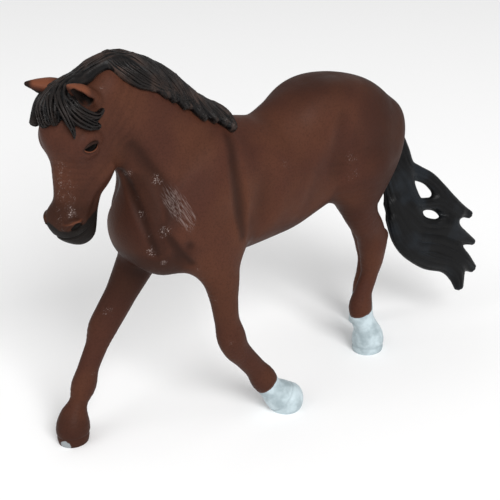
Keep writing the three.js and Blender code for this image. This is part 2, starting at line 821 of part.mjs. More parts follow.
// Field of an ellipsoid that lies in the head's frame
function headMass(place, [rd, rf, rs]) {
  const centre = headPlace(place);
  const unit = ellipsoid(new THREE.Vector3(), [rd, rf, rs]);
  const distance = (x, y, z) => {
    const dx = x - centre.x;
    const dy = y - centre.y;
    const dz = z - centre.z;
    return unit.distance(
      dx * down.x + dy * down.y + dz * down.z,
      dx * forward.x + dy * forward.y + dz * forward.z,
      dx * right.x + dy * right.y + dz * right.z,
    );
  };
  return { centre, reach: Math.max(rd, rf, rs), distance };
}

for (const [d, f, s, rd, rf, rs] of headShares) {
  const radii = [rd * headLength, rf * headDepth, rs * headWidth];
  const hands = s === 0 ? [0] : [-1, 1];
  hands.forEach((hand) => body.add(headMass([d, f, hand * s], radii), s === 0 ? muscleBlend : limbBlend));
}
for (const shares of [noseShares, jawShares]) {
  const stations = shares.map(([d, f, depth, width]) => ({
    at: headPlace([d, f, 0]),
    depth: depth * headDepth,
    width: width * headWidth,
  }));
  body.add(limb(stations, right), limbBlend);
}

// Ears: pricked leaves with a cup cut into the front
const ears = [-1, 1].map((hand, i) => {
  const [lift, spread, length, breadth] = earAims[i];
  const base = headPlace([earShares[0], earShares[1], hand * earShares[2]]);
  const aim = forward
    .clone()
    .applyAxisAngle(right, lift * degrees)
    .applyAxisAngle(down, hand * spread * degrees);
  const along = (share) => base.clone().addScaledVector(aim, share * length * earLength);
  const leaf = new Sculpt();
  const stations = earLeafShares.map(([share, depth, width]) => ({
    at: along(share),
    depth: depth * breadth * earWidth,
    width: width * breadth * earWidth,
  }));
  leaf.add(limb(stations, right), featureBlend);
  const open = right.clone().multiplyScalar(hand * earOpenShare).add(down).normalize();
  const cup = earCupShares.map(([share, radius, out]) => ({
    at: along(share).addScaledVector(open, out * breadth * earWidth),
    depth: radius * breadth * earWidth,
    width: radius * breadth * earWidth,
  }));
  leaf.cut(limb(cup, right), featureBlend / 2);
  return leaf;
});

const skinField = (x, y, z) => body.at(x, y, z);
const hornField = (x, y, z) => Math.min(body.at(x, y, z), ears[0].at(x, y, z), ears[1].at(x, y, z));

// Rests a point on the skin, a given height above it
const rest = (p, height) => settle(skinField, p, height, probeShare * headFacet);

// A lock of hair along stations { at, full }, flat to the given directions; full is its share of the breadth
function lockOf(stations, breadth, thickness, flatTo) {
  return limb(
    stations.map(({ at, full }) => ({
      at,
      depth: (full * breadth) / 2,
      width: (Math.min((1 + full) / 2, 1) * thickness) / 2,
      wide: flatTo(at),
    })),
  );
}
// A lock that narrows to a pointed end
const pointed = (points) =>
  points.map((at, i) => ({ at, full: 1 - lockTipShare * Math.pow(i / (points.length - 1), 2) }));
const skinNormal = (p) => slopeAt(skinField, p, probeShare * headFacet).normalize();

// Mane: locks that start on the crest, run back along it and hang to the left
const crestLine = new THREE.CatmullRomCurve3(
  crestShares.map(([x, z]) => new THREE.Vector3(x * neckReach, 0, z * crestHeight)),
);
const mane = new Sculpt();
const crestLength = crestLine.getLength();
const mantle = crestLine.getSpacedPoints(2 * crestShares.length).map((p, i, all) => {
  rest(p, maneThickness * mantleShares[0]);
  const ends = Math.min(i, all.length - 1 - i) / 2;
  const full = Math.min(1, mantleShares[3] + ends * (1 - mantleShares[3]));
  const ahead = 1 - (1 - mantleFrontShare) * (i / (all.length - 1));
  p.y -= ahead * mantleShares[1] * maneThickness;
  const width = ahead * full * mantleShares[2] * maneThickness;
  return { at: p, depth: (full * maneThickness) / 2, width };
});
mane.add(limb(mantle), lockBlend);
for (const low of maneFrontRows) {
  const [from, to] = maneFrontShares;
  const points = maneStepShares.map((share) => {
    const p = crestLine.getPointAt(Math.min(from + share * (to - from), 1));
    p.y = -low * maneDrop * Math.sin(maneLean * degrees);
    p.z -= low * maneDrop * Math.cos(maneLean * degrees);
    return rest(p, maneThickness * lockRestShare);
  });
  const even = points.map((at) => ({ at, full: 1 }));
  mane.add(lockOf(even, maneLock, maneThickness, skinNormal), lockBlend);
}
for (let i = 0; i < maneLocks; i += 1) {
  const start = manePartShare * (1 - i / (maneLocks + 1));
  const swing = maneSwing / crestLength;
  const points = maneStepShares.map((share) => {
    const p = crestLine.getPointAt(Math.max(start - share * swing, 0));
    const fall = Math.pow(share, maneCurl) * maneDrop;
    p.y = -fall * Math.sin(maneLean * degrees);
    p.z -= fall * Math.cos(maneLean * degrees);
    return rest(p, maneThickness * lockRestShare);
  });
  mane.add(lockOf(pointed(points), maneLock, maneThickness, skinNormal), lockBlend);
}

// Forelock: locks from the poll over the forehead
const forelock = new Sculpt();
for (const shares of forelockShares) {
  const points = shares.map((share) => {
    const p = headPoint(...share.map((part) => part * forelockLength));
    return rest(p, forelockThickness * lockRestShare);
  });
  forelock.add(lockOf(pointed(points), forelockLock, forelockThickness, skinNormal), lockBlend);
}

// Tail: a fan of locks that streams back and to the left
const tailRoot = new THREE.Vector3(tailRootShares[0] * trunkLength, 0, tailRootShares[1] * crestHeight);
const tailPlace = ([back, left, fall]) =>
  tailRoot.clone().add(new THREE.Vector3(back * tailSweep, -left * tailSwing, -fall * tailLength));
const tailFlat = new THREE.Vector3(tailSwing, tailSweep, 0).normalize();
const tail = new Sculpt();
for (const shares of tailShares) {
  const stations = shares.map((share) => ({ at: tailPlace(share), full: share[3] }));
  tail.add(lockOf(stations, tailLock, tailThickness, () => tailFlat), lockBlend);
}

// Hair is kept clear of the skin and the ears
const clearOf = (hair) => (x, y, z) => Math.max(hair.at(x, y, z), joinGap - hornField(x, y, z));

// Boxes that hold the pieces
const farBack = trunkLength + tailSweep;
const farAhead = -(neckReach + headDepth + trunkDepth);
const span = (x0, x1, y0, y1, z0, z1) =>
  new THREE.Box3(new THREE.Vector3(x0, y0, z0), new THREE.Vector3(x1, y1, z1));
const boxAround = (points, margin) => new THREE.Box3().setFromPoints(points).expandByScalar(margin);
const pointsOf = (sculpt) =>
  sculpt.steps.flatMap(({ mass }) => [
    mass.centre.clone().addScalar(mass.reach),
    mass.centre.clone().addScalar(-mass.reach),
  ]);

const solids = {};

// Head and trunk meet on a slanted face behind the jaw
const neckJoin = headPlace([...neckJoinShares, 0]);
const headSide = new THREE.Vector3(-Math.cos(tilt), 0, Math.sin(tilt));
const reachAll = 2 * (crestHeight + trunkLength);
const aheadOfNeck = halfSpace(neckJoin.clone().addScaledVector(headSide, joinGap / 2), headSide, reachAll);
const behindNeck = halfSpace(
  neckJoin.clone().addScaledVector(headSide, -joinGap / 2),
  headSide.clone().negate(),
  reachAll,
);

const headBox = boxAround(
  [headPoint(0, headDepth / 2, 0), headPoint(headLength, headDepth / 2, 0), headPoint(0, -headDepth / 2, 0)],
  boxShares[0] * headWidth,
);
let head = skin(skinField, headBox, headFacet).intersect(aheadOfNeck);
for (const leaf of ears) {
  head = head.add(skin((x, y, z) => leaf.at(x, y, z), boxAround(pointsOf(leaf), 0), earFacet));
}
const ball = (centre, radius) =>
  solidOf(new THREE.SphereGeometry(radius, ballSides, ballSides / 2).translate(centre.x, centre.y, centre.z));
for (const hand of [-1, 1]) {
  const eye = headPlace([eyeShares[0], eyeShares[1], hand * eyeShares[2]]);
  head = head.add(ball(eye, eyeBallShare * headWidth));
  const nostril = headPlace([nostrilShares[0], nostrilShares[1], hand * nostrilShares[2]]);
  head = head.subtract(ball(nostril, nostrilBallShare * headWidth));
}

// Trunk with the neck, down to the level where the legs start
const trunkBox = span(
  -neckReach - headDepth / 2,
  boxShares[1] * trunkLength,
  -boxShares[2] * trunkWidth,
  boxShares[2] * trunkWidth,
  legJoinHeight - overrun,
  crestHeight + overrun,
);
let trunk = skin(skinField, trunkBox, trunkFacet)
  .intersect(behindNeck)
  .intersect(block(span(farAhead, farBack, -farBack, farBack, legJoinHeight, 2 * crestHeight)));
const hollow = new THREE.SphereGeometry(1 / 2, 2 * ballSides, ballSides)
  .scale(hollowLength, hollowWidth, hollowDepth)
  .translate(hollowPlaceShares[0] * trunkLength, 0, hollowPlaceShares[1] * crestHeight);
trunk = trunk.subtract(solidOf(hollow));
[head, trunk] = pegJoint(head, trunk, neckJoin, headSide.clone().negate(), neckPegDiameter, neckPegLength);

// Legs and feet
for (const [name, leg] of Object.entries(legs)) {
  const all = [...leg.stations, ...leg.foot].map(({ at }) => at);
  const box = boxAround(all, boxShares[3] * limbDepth);
  box.min.z = -overrun;
  box.max.z = legJoinHeight + overrun;
  box.min.y = leg.hand < 0 ? box.min.y : joinGap;
  box.max.y = leg.hand < 0 ? -joinGap : box.max.y;
  const fetlock = leg.stations.at(-1).at;
  const join = fetlock.clone().lerp(leg.foot[0].at, footJoinShare);
  const below = leg.foot[1].at.clone().sub(fetlock).normalize();
  const legBlock = block(span(farAhead, farBack, -farBack, farBack, fetlock.z - limbDepth, legJoinHeight));
  const above = below.clone().negate();
  let shank = skin(skinField, box, legFacet)
    .intersect(legBlock)
    .intersect(halfSpace(join.clone().addScaledVector(above, joinGap / 2), above, reachAll));
  const footBox = boxAround([fetlock, ...leg.foot.map(({ at }) => at)], hoofLength);
  footBox.min.z = -overrun;
  let foot = largest(skin(skinField, footBox, footFacet))
    .intersect(block(span(farAhead, farBack, -farBack, farBack, 0, crestHeight)))
    .intersect(halfSpace(join.clone().addScaledVector(below, joinGap / 2), below, reachAll));
  [foot, shank] = pegJoint(foot, shank, join, above, footPegDiameter, footPegLength);
  const top = leg.stations.findIndex(({ at }) => at.z < legJoinHeight);
  const [a, b] = [leg.stations[top - 1].at, leg.stations[top].at];
  const place = a.clone().lerp(b, (a.z - legJoinHeight) / (a.z - b.z));
  const up = new THREE.Vector3(0, 0, 1);
  [shank, trunk] = pegJoint(shank, trunk, place, up, legPegDiameter, legPegLength);
  solids[`leg_${name}`] = shank;
  solids[`foot_${name}`] = foot;
}

// Hair
const divide = maneDivideShare * neckReach;
const maneBox = boxAround(pointsOf(mane), 0);
solids.mane = largest(
  skin(clearOf(mane), maneBox, hairFacet).intersect(
    block(span(divide, farBack, -farBack, farBack, 0, 2 * crestHeight)),
  ),
);
solids.forelock = largest(
  skin(clearOf(forelock), boxAround(pointsOf(forelock), 0), hairFacet).intersect(
    block(span(farAhead, divide, -farBack, farBack, 0, 2 * crestHeight)),
  ),
);
let tailSolid = largest(skin(clearOf(tail), boxAround(pointsOf(tail), 0), tailFacet));
const inwards = new THREE.Vector3(-1, 0, 0);
const tailPegPlace = new THREE.Vector3(
  tailPegShares[0] * trunkLength,
  tailPegShares[1] * trunkWidth,
  tailPegShares[2] * crestHeight,
);
[tailSolid, trunk] = pegJoint(tailSolid, trunk, tailPegPlace, inwards, tailPegDiameter, tailPegLength);
solids.tail = tailSolid;

// Two trunk halves, divided on the middle plane, with pins on the right half
let leftHalf = trunk.intersect(block(span(farAhead, farBack, -farBack, 0, 0, 2 * crestHeight)));
let rightHalf = trunk.intersect(block(span(farAhead, farBack, 0, farBack, 0, 2 * crestHeight)));
const leftwards = side.clone().negate();
for (const [x, z] of pinShares) {
  const at = new THREE.Vector3(x * trunkLength, 0, z * crestHeight);
  [rightHalf, leftHalf] = pegJoint(rightHalf, leftHalf, at, leftwards, halfPinDiameter, halfPinLength);
}
solids.body_left_half = leftHalf;
solids.body_right_half = rightHalf;
solids.head = head;

// Finishes
const coat = { color: 0x55372b, roughness: 0.62, metalness: 0 };
const hairBlack = { color: 0x1d1a1b, roughness: 0.55, metalness: 0 };
const whiteFoot = { color: 0xd4dbde, roughness: 0.5, metalness: 0 };
const darkFoot = { color: 0x4b3129, roughness: 0.55, metalness: 0 };
const finishes = {
  mane: hairBlack,
  forelock: hairBlack,
  tail: hairBlack,
  foot_fore_left: whiteFoot,
  foot_hind_left: whiteFoot,
  foot_fore_right: darkFoot,
  foot_hind_right: whiteFoot,
};

const horse = new THREE.Group();
for (const [name, solid] of Object.entries(solids)) {
  const { numProp, vertProperties, triVerts } = solid.getMesh();
  const geometry = new THREE.BufferGeometry();
  geometry.setAttribute("position", new THREE.BufferAttribute(vertProperties, numProp));
  geometry.setIndex(new THREE.BufferAttribute(triVerts, 1));
  const finish = new THREE.MeshStandardMaterial(finishes[name] ?? coat);
  const mesh = new THREE.Mesh(toCreasedNormals(geometry, crease * degrees), finish);
  mesh.name = name;
  horse.add(mesh);
}
const footprint = new THREE.Box3().setFromObject(horse).getCenter(new THREE.Vector3());
horse.position.set(-footprint.x, -footprint.y, 0);

export default horse;
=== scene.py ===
"""Toy horse: skins, hair, eyes and paint of a bay farm horse, dressed around its packed mouldings.

The sculpt is worked in millimetres. The horse heads along -X, its left side faces -Y, X = 0 lies
under the withers and Y = 0 is the middle of the horse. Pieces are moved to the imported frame, in
metres, when their meshes are made.
"""

from __future__ import annotations

import logging
import math
from abc import ABC, abstractmethod
from dataclasses import dataclass, field
from enum import Enum
from typing import Callable, NamedTuple, Sequence

import bmesh
import bpy
import numpy as np
from mathutils import Matrix, Vector

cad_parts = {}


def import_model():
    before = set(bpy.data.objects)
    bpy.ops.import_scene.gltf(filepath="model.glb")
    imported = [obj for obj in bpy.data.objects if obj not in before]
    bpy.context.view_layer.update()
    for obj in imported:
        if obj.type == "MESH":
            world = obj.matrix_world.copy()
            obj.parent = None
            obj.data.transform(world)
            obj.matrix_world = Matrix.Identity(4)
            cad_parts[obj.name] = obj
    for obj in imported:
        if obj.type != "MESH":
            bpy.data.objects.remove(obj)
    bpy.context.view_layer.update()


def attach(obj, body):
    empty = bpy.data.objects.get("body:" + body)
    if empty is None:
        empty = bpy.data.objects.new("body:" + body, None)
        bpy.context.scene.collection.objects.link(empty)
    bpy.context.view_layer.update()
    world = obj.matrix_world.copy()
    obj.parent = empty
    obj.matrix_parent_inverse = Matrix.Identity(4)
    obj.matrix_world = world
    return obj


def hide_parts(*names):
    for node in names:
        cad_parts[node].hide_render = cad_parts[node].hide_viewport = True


log = logging.getLogger("toy_horse")

FAR = 1000.0  # mm, further than any point of the horse
CUBE = 2.4  # mm, edge of the cubes that the sculpt's points are sorted into
LEAST_STEEP = 0.05  # squared slope that a field is taken to have at least
MM = 0.001
FOOTPRINT_MIDDLE = (20.89951, -1.57206, 0.0)  # of the sculpt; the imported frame's origin, in mm

Array = np.ndarray
Material = bpy.types.Material
Socket = bpy.types.NodeSocket
Field = Callable[[Array], Array]
Place = tuple[float, float, float]
Rows = Sequence[Sequence[float]]
norm = np.linalg.norm


@dataclass(frozen=True)
class Sizes:
    """Driving sizes of the horse, in millimetres and degrees."""

    crest_height: float = 100.0
    trunk_length: float = 100.0
    trunk_depth: float = 40.0
    trunk_width: float = 26.0
    neck_reach: float = 30.0
    neck_depth: float = 32.0
    neck_width: float = 18.0
    head_length: float = 40.0
    head_depth: float = 20.0
    head_width: float = 12.0
    ear_length: float = 10.5
    ear_width: float = 5.4
    stance_width: float = 20.0
    limb_depth: float = 10.0
    limb_width: float = 8.0
    hoof_length: float = 9.8
    hoof_width: float = 8.4
    mane_swing: float = 11.0
    mane_drop: float = 7.0
    mane_lock: float = 4.4
    mane_thickness: float = 3.2
    forelock_length: float = 16.0
    forelock_lock: float = 4.0
    forelock_thickness: float = 3.2
    tail_length: float = 48.0
    tail_sweep: float = 30.0
    tail_swing: float = 13.0
    tail_lock: float = 6.4
    tail_thickness: float = 3.4
    head_tilt: float = 11.0
    head_turn: float = 12.0
    mane_lean: float = 50.0
    leg_join_height: float = 42.0


@dataclass(frozen=True)
class Blends:
    """How widely neighbouring masses melt into each other, in millimetres."""

    flesh: float = 7.0
    muscle: float = 4.0
    limb: float = 2.5
    feature: float = 1.4
    lock: float = 1.0


@dataclass(frozen=True)
class Grain:
    """Facet sizes of the skins, in millimetres."""

    trunk: float = 0.62
    head: float = 0.36
    leg: float = 0.5
    foot: float = 0.4
    hair: float = 0.27
    tail: float = 0.36

    @staticmethod
    def chosen() -> "Grain":
        """The facet sizes of the skins."""
        return Grain()


SIZES = Sizes()
BLENDS = Blends()

# Masses of the trunk: x of trunk length, z of crest height, half sizes, tilt
TRUNK_SHARES = [
    [-0.03, 0.63, 0.22, 0.445, 0.43, 3], [0.15, 0.62, 0.26, 0.48, 0.405, -2],
    [0.395, 0.68, 0.225, 0.45, 0.415, -6], [-0.03, 0.74, 0.12, 0.13, 0.15, -20],
    [0.27, 0.725, 0.11, 0.3, 0.24, 20], [-0.17, 0.6, 0.13, 0.38, 0.32, -15],
    [0.59, 0.66, 0.06, 0.18, 0.16, -40],
]
# Paired masses: x, y, z, half sizes, tilt
MUSCLE_SHARES = [
    [-0.2, 0.19, 0.57, 0.075, 0.2, 0.22, 15], [-0.095, 0.28, 0.665, 0.075, 0.19, 0.33, -38],
    [-0.085, 0.31, 0.545, 0.095, 0.17, 0.2, 20], [0.41, 0.2, 0.735, 0.175, 0.24, 0.235, -18],
    [0.46, 0.27, 0.615, 0.115, 0.2, 0.33, 2], [0.55, 0.2, 0.64, 0.055, 0.17, 0.25, -14],
]
# Paired hollows: behind the elbow, the flank, and above the point of the shoulder
HOLLOW_SHARES = [
    [0.045, 0.6, 0.6, 0.035, 0.14, 0.3, -8], [0.285, 0.58, 0.62, 0.055, 0.12, 0.28, -30],
    [-0.17, 0.66, 0.7, 0.03, 0.14, 0.28, -42],
]
# Neck stations: x of neck reach, z of crest height, half depth, half width
NECK_SHARES = [
    [-0.28, 0.675, 0.415, 0.5], [-0.55, 0.782, 0.375, 0.42], [-0.82, 0.872, 0.345, 0.36],
    [-1.07, 0.93, 0.265, 0.3],
]
POLL_SHARES = [-1.17, 0.97]
# Head masses: down of head length, forward of head depth, side of head width, half sizes of the same
HEAD_SHARES = [
    [0.23, 0.18, 0, 0.2, 0.405, 0.47], [0.4, -0.1, 0.2, 0.2, 0.29, 0.25],
    [0.3, 0.27, 0.36, 0.085, 0.15, 0.15], [0.775, 0.1, 0, 0.115, 0.25, 0.31],
    [0.75, 0.23, 0.2, 0.06, 0.11, 0.14], [0.845, -0.055, 0, 0.06, 0.11, 0.2],
]
NOSE_SHARES = [
    [0.3, 0.11, 0.31, 0.43], [0.44, 0.12, 0.27, 0.36], [0.58, 0.115, 0.23, 0.3], [0.74, 0.1, 0.21, 0.27],
]
JAW_SHARES = [
    [0.45, -0.22, 0.135, 0.25], [0.62, -0.16, 0.115, 0.21], [0.82, -0.09, 0.1, 0.19],
]
NECK_JOIN_SHARES = [0.36, -0.475, 0]
EAR_SHARES = [0.06, 0.15, 0.3]
# Left and right ear: lift and spread in degrees, length of ear length, breadth of ear width
EAR_AIMS = [[21, 11, 0.78, 0.86], [9, 22, 0.83, 1.08]]
EAR_LEAF_SHARES = [[-0.1, 0.4, 0.44], [0.3, 0.42, 0.5], [0.68, 0.28, 0.36], [1, 0.1, 0.1]]
EAR_CUP_SHARES = [[0.2, 0.26, 0.3], [0.55, 0.24, 0.26], [0.84, 0.12, 0.16]]
EAR_OPEN_SHARE = 0.8

# Leg stations from the root: x of crest height, y of stance width, z of crest height,
# half depth of limb depth, half width of limb width
LEG_SHARES = {
    "fore_left": [
        [0, 0.4, 0.55, 0.74, 0.56], [-0.008, 0.45, 0.47, 0.58, 0.54], [-0.003, 0.475, 0.43, 0.48, 0.49],
        [0.002, 0.49, 0.372, 0.37, 0.4], [0.008, 0.5, 0.315, 0.335, 0.36], [0.02, 0.51, 0.262, 0.39, 0.42],
        [0.034, 0.52, 0.224, 0.35, 0.38], [0.059, 0.54, 0.189, 0.3, 0.32],
        [0.089, 0.565, 0.148, 0.29, 0.31], [0.117, 0.59, 0.103, 0.36, 0.39],
    ],
    "fore_right": [
        [-0.06, 0.38, 0.56, 0.85, 0.62], [-0.117, 0.43, 0.475, 0.61, 0.54], [-0.146, 0.48, 0.42, 0.5, 0.51],
        [-0.174, 0.52, 0.369, 0.43, 0.45], [-0.201, 0.54, 0.329, 0.42, 0.43],
        [-0.227, 0.56, 0.29, 0.4, 0.42], [-0.249, 0.565, 0.243, 0.3, 0.33],
        [-0.276, 0.57, 0.191, 0.285, 0.305], [-0.294, 0.575, 0.143, 0.34, 0.365],
    ],
    "hind_left": [
        [-0.015, 0.4, 0.6, 0.95, 0.7], [-0.012, 0.37, 0.53, 0.72, 0.62], [-0.01, 0.36, 0.486, 0.54, 0.58],
        [0.016, 0.36, 0.436, 0.48, 0.5], [0.05, 0.33, 0.39, 0.46, 0.46], [0.07, 0.31, 0.341, 0.45, 0.45],
        [0.073, 0.3, 0.284, 0.36, 0.38], [0.066, 0.29, 0.234, 0.27, 0.29],
        [0.046, 0.29, 0.188, 0.285, 0.31], [0.038, 0.29, 0.144, 0.37, 0.39],
    ],
    "hind_right": [
        [0.01, 0.4, 0.6, 0.95, 0.7], [0.05, 0.4, 0.53, 0.8, 0.66], [0.09, 0.38, 0.47, 0.6, 0.58],
        [0.118, 0.35, 0.41, 0.48, 0.5], [0.147, 0.32, 0.36, 0.43, 0.45], [0.167, 0.3, 0.312, 0.41, 0.42],
        [0.175, 0.295, 0.26, 0.34, 0.36], [0.178, 0.29, 0.21, 0.26, 0.29], [0.175, 0.29, 0.165, 0.27, 0.3],
        [0.17, 0.29, 0.12, 0.32, 0.35],
    ],
}
LEG_ROOTS = {"fore_left": -0.06, "fore_right": -0.06, "hind_left": 0.45, "hind_right": 0.45}
HOCK_SHARES = [0.36, 0.16, 0.2]
HOCK_STATION = 5
# Feet: the same places, half depth of hoof length, half width of hoof width
FOOT_SHARES = {
    "fore_left": [
        [0.137, 0.62, 0.067, 0.28, 0.31], [0.156, 0.66, 0.046, 0.42, 0.45], [0.18, 0.7, 0.022, 0.51, 0.55],
    ],
    "fore_right": [
        [-0.316, 0.57, 0.096, 0.2, 0.225], [-0.333, 0.55, 0.067, 0.37, 0.41],
        [-0.341, 0.53, 0.036, 0.46, 0.49], [-0.343, 0.52, -0.01, 0.38, 0.41],
    ],
    "hind_left": [
        [0.044, 0.3, 0.105, 0.31, 0.34], [0.057, 0.34, 0.067, 0.39, 0.42], [0.062, 0.36, 0.03, 0.51, 0.53],
        [0.06, 0.37, -0.01, 0.47, 0.49],
    ],
    "hind_right": [
        [0.169, 0.29, 0.085, 0.29, 0.32], [0.17, 0.29, 0.055, 0.36, 0.39], [0.171, 0.29, -0.01, 0.42, 0.46],
    ],
}
FOOT_JOIN_SHARE = 0.35

CREST_SHARES = [
    [-0.02, 0.838], [-0.21, 0.872], [-0.47, 0.935], [-0.75, 0.985], [-1.0, 1.0], [-1.22, 0.985],
]
# Mantle over the crest: rest above the skin, shift to the left, half breadth, fullness of its ends
MANTLE_SHARES = [0.18, 0.3, 1.1, 0.6]
MANTLE_FRONT_SHARE = 0.55
MANE_PART_SHARE = 0.82
MANE_FRONT_SHARES = [0.6, 1.05]
MANE_FRONT_ROWS = [-0.14, 0.02]
MANE_DIVIDE_SHARE = -1.2
MANE_THINNING_SHARE = 0.74
# Ranges of the hanging locks' swing, drop, shift along the crest and breadth
MANE_SWINGS, MANE_DROPS, MANE_PARTS, MANE_BREADTHS = (0.85, 1.15), (0.84, 1.08), (-0.3, 0.3), (0.75, 1.0)
HAIR_REST_SHARE = 0.3
FORELOCK_SHARES = [
    [[-0.14, 0.08, 0.03], [0.06, 0.47, 0.2], [0.24, 0.58, 0.35], [0.42, 0.63, 0.37], [0.55, 0.66, 0.25]],
    [[-0.14, 0.08, 0.02], [0, 0.42, 0.04], [0.17, 0.59, 0.06], [0.35, 0.66, 0.05], [0.5, 0.68, -0.03]],
    [[-0.13, 0.1, 0.01], [0.09, 0.5, 0], [0.24, 0.6, -0.05], [0.37, 0.64, -0.09], [0.47, 0.65, -0.13]],
    [
        [-0.13, 0.1, 0], [0.14, 0.54, -0.06], [0.31, 0.59, -0.16], [0.44, 0.57, -0.24], [0.56, 0.54, -0.33],
        [0.65, 0.54, -0.37],
    ],
    [[0, 0.4, -0.03], [0.26, 0.54, -0.21], [0.39, 0.47, -0.31], [0.47, 0.35, -0.41], [0.5, 0.19, -0.44]],
    [
        [0, 0.4, -0.05], [0.18, 0.52, -0.17], [0.29, 0.47, -0.28], [0.36, 0.33, -0.37], [0.36, 0.19, -0.42],
        [0.28, 0.09, -0.43],
    ],
]
# Breadth and tip of each forelock lock, as shares of the lock
FORELOCK_FORMS = [(1.0, 0.5), (1.15, 0.6), (1.0, 0.5), (0.7, 0.14), (1.0, 0.4), (0.8, 0.35)]
# Short locks of the mane behind the poll, on the near side, in mm
SIDE_LOCKS = [
    [(-30.5, -1.2, 100.0), (-28.2, -3.6, 98.0), (-25.0, -4.6, 95.6), (-21.5, -4.8, 93.8)],
    [(-28.5, -1.2, 100.5), (-25.2, -3.4, 97.6), (-21.5, -4.4, 94.6), (-17.8, -4.8, 92.0)],
    [(-25.5, -1.2, 100.0), (-21.6, -3.4, 96.0), (-17.2, -4.3, 92.2), (-13.6, -4.7, 89.4)],
]
# Their breadth and thickness, of the mane's, their rest above the skin, and their fullness from root to tip
SIDE_SHARES = [0.75, 0.8]
SIDE_REST_SHARE = 0.2
SIDE_FULL_SHARES = [0.6, 0.9, 0.75, 0.3]
# Tail locks: back of tail sweep, left of tail swing, down of tail length, breadth of tail lock
TAIL_SHARES = [
    [
        [-0.16, 0, -0.19, 0.7], [-0.06, 0.05, -0.1, 0.8], [0.01, 0.16, 0.03, 0.92],
        [0.07, 0.25, 0.13, 0.86], [0.18, 0.34, 0.175, 0.74], [0.31, 0.45, 0.225, 0.68],
        [0.43, 0.57, 0.31, 0.72], [0.55, 0.67, 0.4, 0.75], [0.66, 0.76, 0.465, 0.65],
        [0.775, 0.86, 0.51, 0.42],
    ],
    [
        [-0.11, 0.16, 0.07, 0.8], [-0.02, 0.27, 0.17, 1.05], [0.055, 0.37, 0.27, 0.85],
        [0.15, 0.48, 0.36, 0.64], [0.28, 0.54, 0.38, 0.6], [0.4, 0.6, 0.395, 0.8], [0.5, 0.69, 0.44, 0.85],
        [0.62, 0.78, 0.5, 0.75],
    ],
    [
        [-0.17, 0.21, 0.16, 0.6], [-0.11, 0.33, 0.3, 0.95], [0.01, 0.46, 0.41, 1.2],
        [0.15, 0.58, 0.5, 1.05], [0.3, 0.68, 0.535, 0.92], [0.44, 0.78, 0.555, 1.15],
        [0.64, 0.91, 0.635, 0.78], [0.79, 1, 0.69, 0.36],
    ],
    [
        [-0.16, 0.33, 0.32, 0.6], [-0.09, 0.47, 0.46, 0.95], [0.05, 0.63, 0.6, 1.2],
        [0.28, 0.76, 0.65, 1.15], [0.5, 0.91, 0.72, 1.15], [0.64, 1.03, 0.795, 0.95],
        [0.76, 1.12, 0.86, 0.5],
    ],
    [
        [-0.17, 0.4, 0.42, 0.4], [-0.11, 0.52, 0.54, 0.62], [0.03, 0.66, 0.65, 0.78],
        [0.22, 0.8, 0.73, 0.95], [0.44, 0.94, 0.79, 0.9], [0.55, 1.05, 0.87, 0.83],
        [0.575, 1.12, 0.955, 0.5],
    ],
]
TAIL_ROOT_SHARES = [0.66, 0.585]

# Grooves in the skin, on both sides: path in mm, radius, height of the groove's middle over the skin
BODY_LINES: list[tuple[list[Place], float, float]] = [
    (
        [(-28.2, 5.5, 82.3), (-26.2, 5.6, 79.1), (-24.5, 6, 75.9), (-23.1, 7, 73.4), (-22, 8.3, 70.3),
         (-21.2, 9.5, 67.4), (-21.9, 10.2, 64.1), (-23.9, 10, 61.6)],
        2.1, 1.45,
    ),
    (
        [(-28.9, 1.6, 75.2), (-27.8, 2.4, 71.6), (-27.5, 3.6, 69.2), (-27.2, 5.2, 66.5), (-27.1, 6.8, 64),
         (-26.8, 8.2, 61.1), (-25.3, 9.2, 55.9)],
        1.0, 0.4,
    ),
    ([(-23.9, 10, 61.6), (-22.1, 10.9, 58.3), (-19.5, 11, 54.2), (-17.1, 11, 51.5)], 1.1, 0.5),
    (
        [(-2.2, 8.6, 80), (-2.9, 10.4, 77), (-3.5, 11.8, 74), (-3.7, 12.6, 70.5), (-3.3, 12.8, 66),
         (-2.6, 12.7, 61), (-2.1, 13.1, 55.6)],
        2.5, 1.6,
    ),
    (
        [(34.2, 10.7, 80), (32.5, 11.4, 76), (31.4, 11.4, 70.1), (31.2, 11, 64.5), (30.1, 10.7, 59.1)],
        5.0, 4.3,
    ),
    ([(-17.9, 12, 57.1), (-17.6, 12, 56.4), (-17.4, 12, 55.8)], 0.8, 0.45),
]
# Painted shade along the first of these grooves: strength, and how far it reaches in mm
LINE_SHADES = [(0.55, 4.6), (0.6, 1.6), (0.6, 2.4), (0.6, 3.0)]
# A wide band of painted shade down the breast, in mm, and its strength
BREAST_BAND: list[Place] = [
    (-26, 4.5, 73), (-25.4, 5.8, 70.5), (-25.1, 7.2, 67), (-25.4, 8.6, 62.5), (-25, 9.5, 57)
]
BAND_SHADE = 0.75
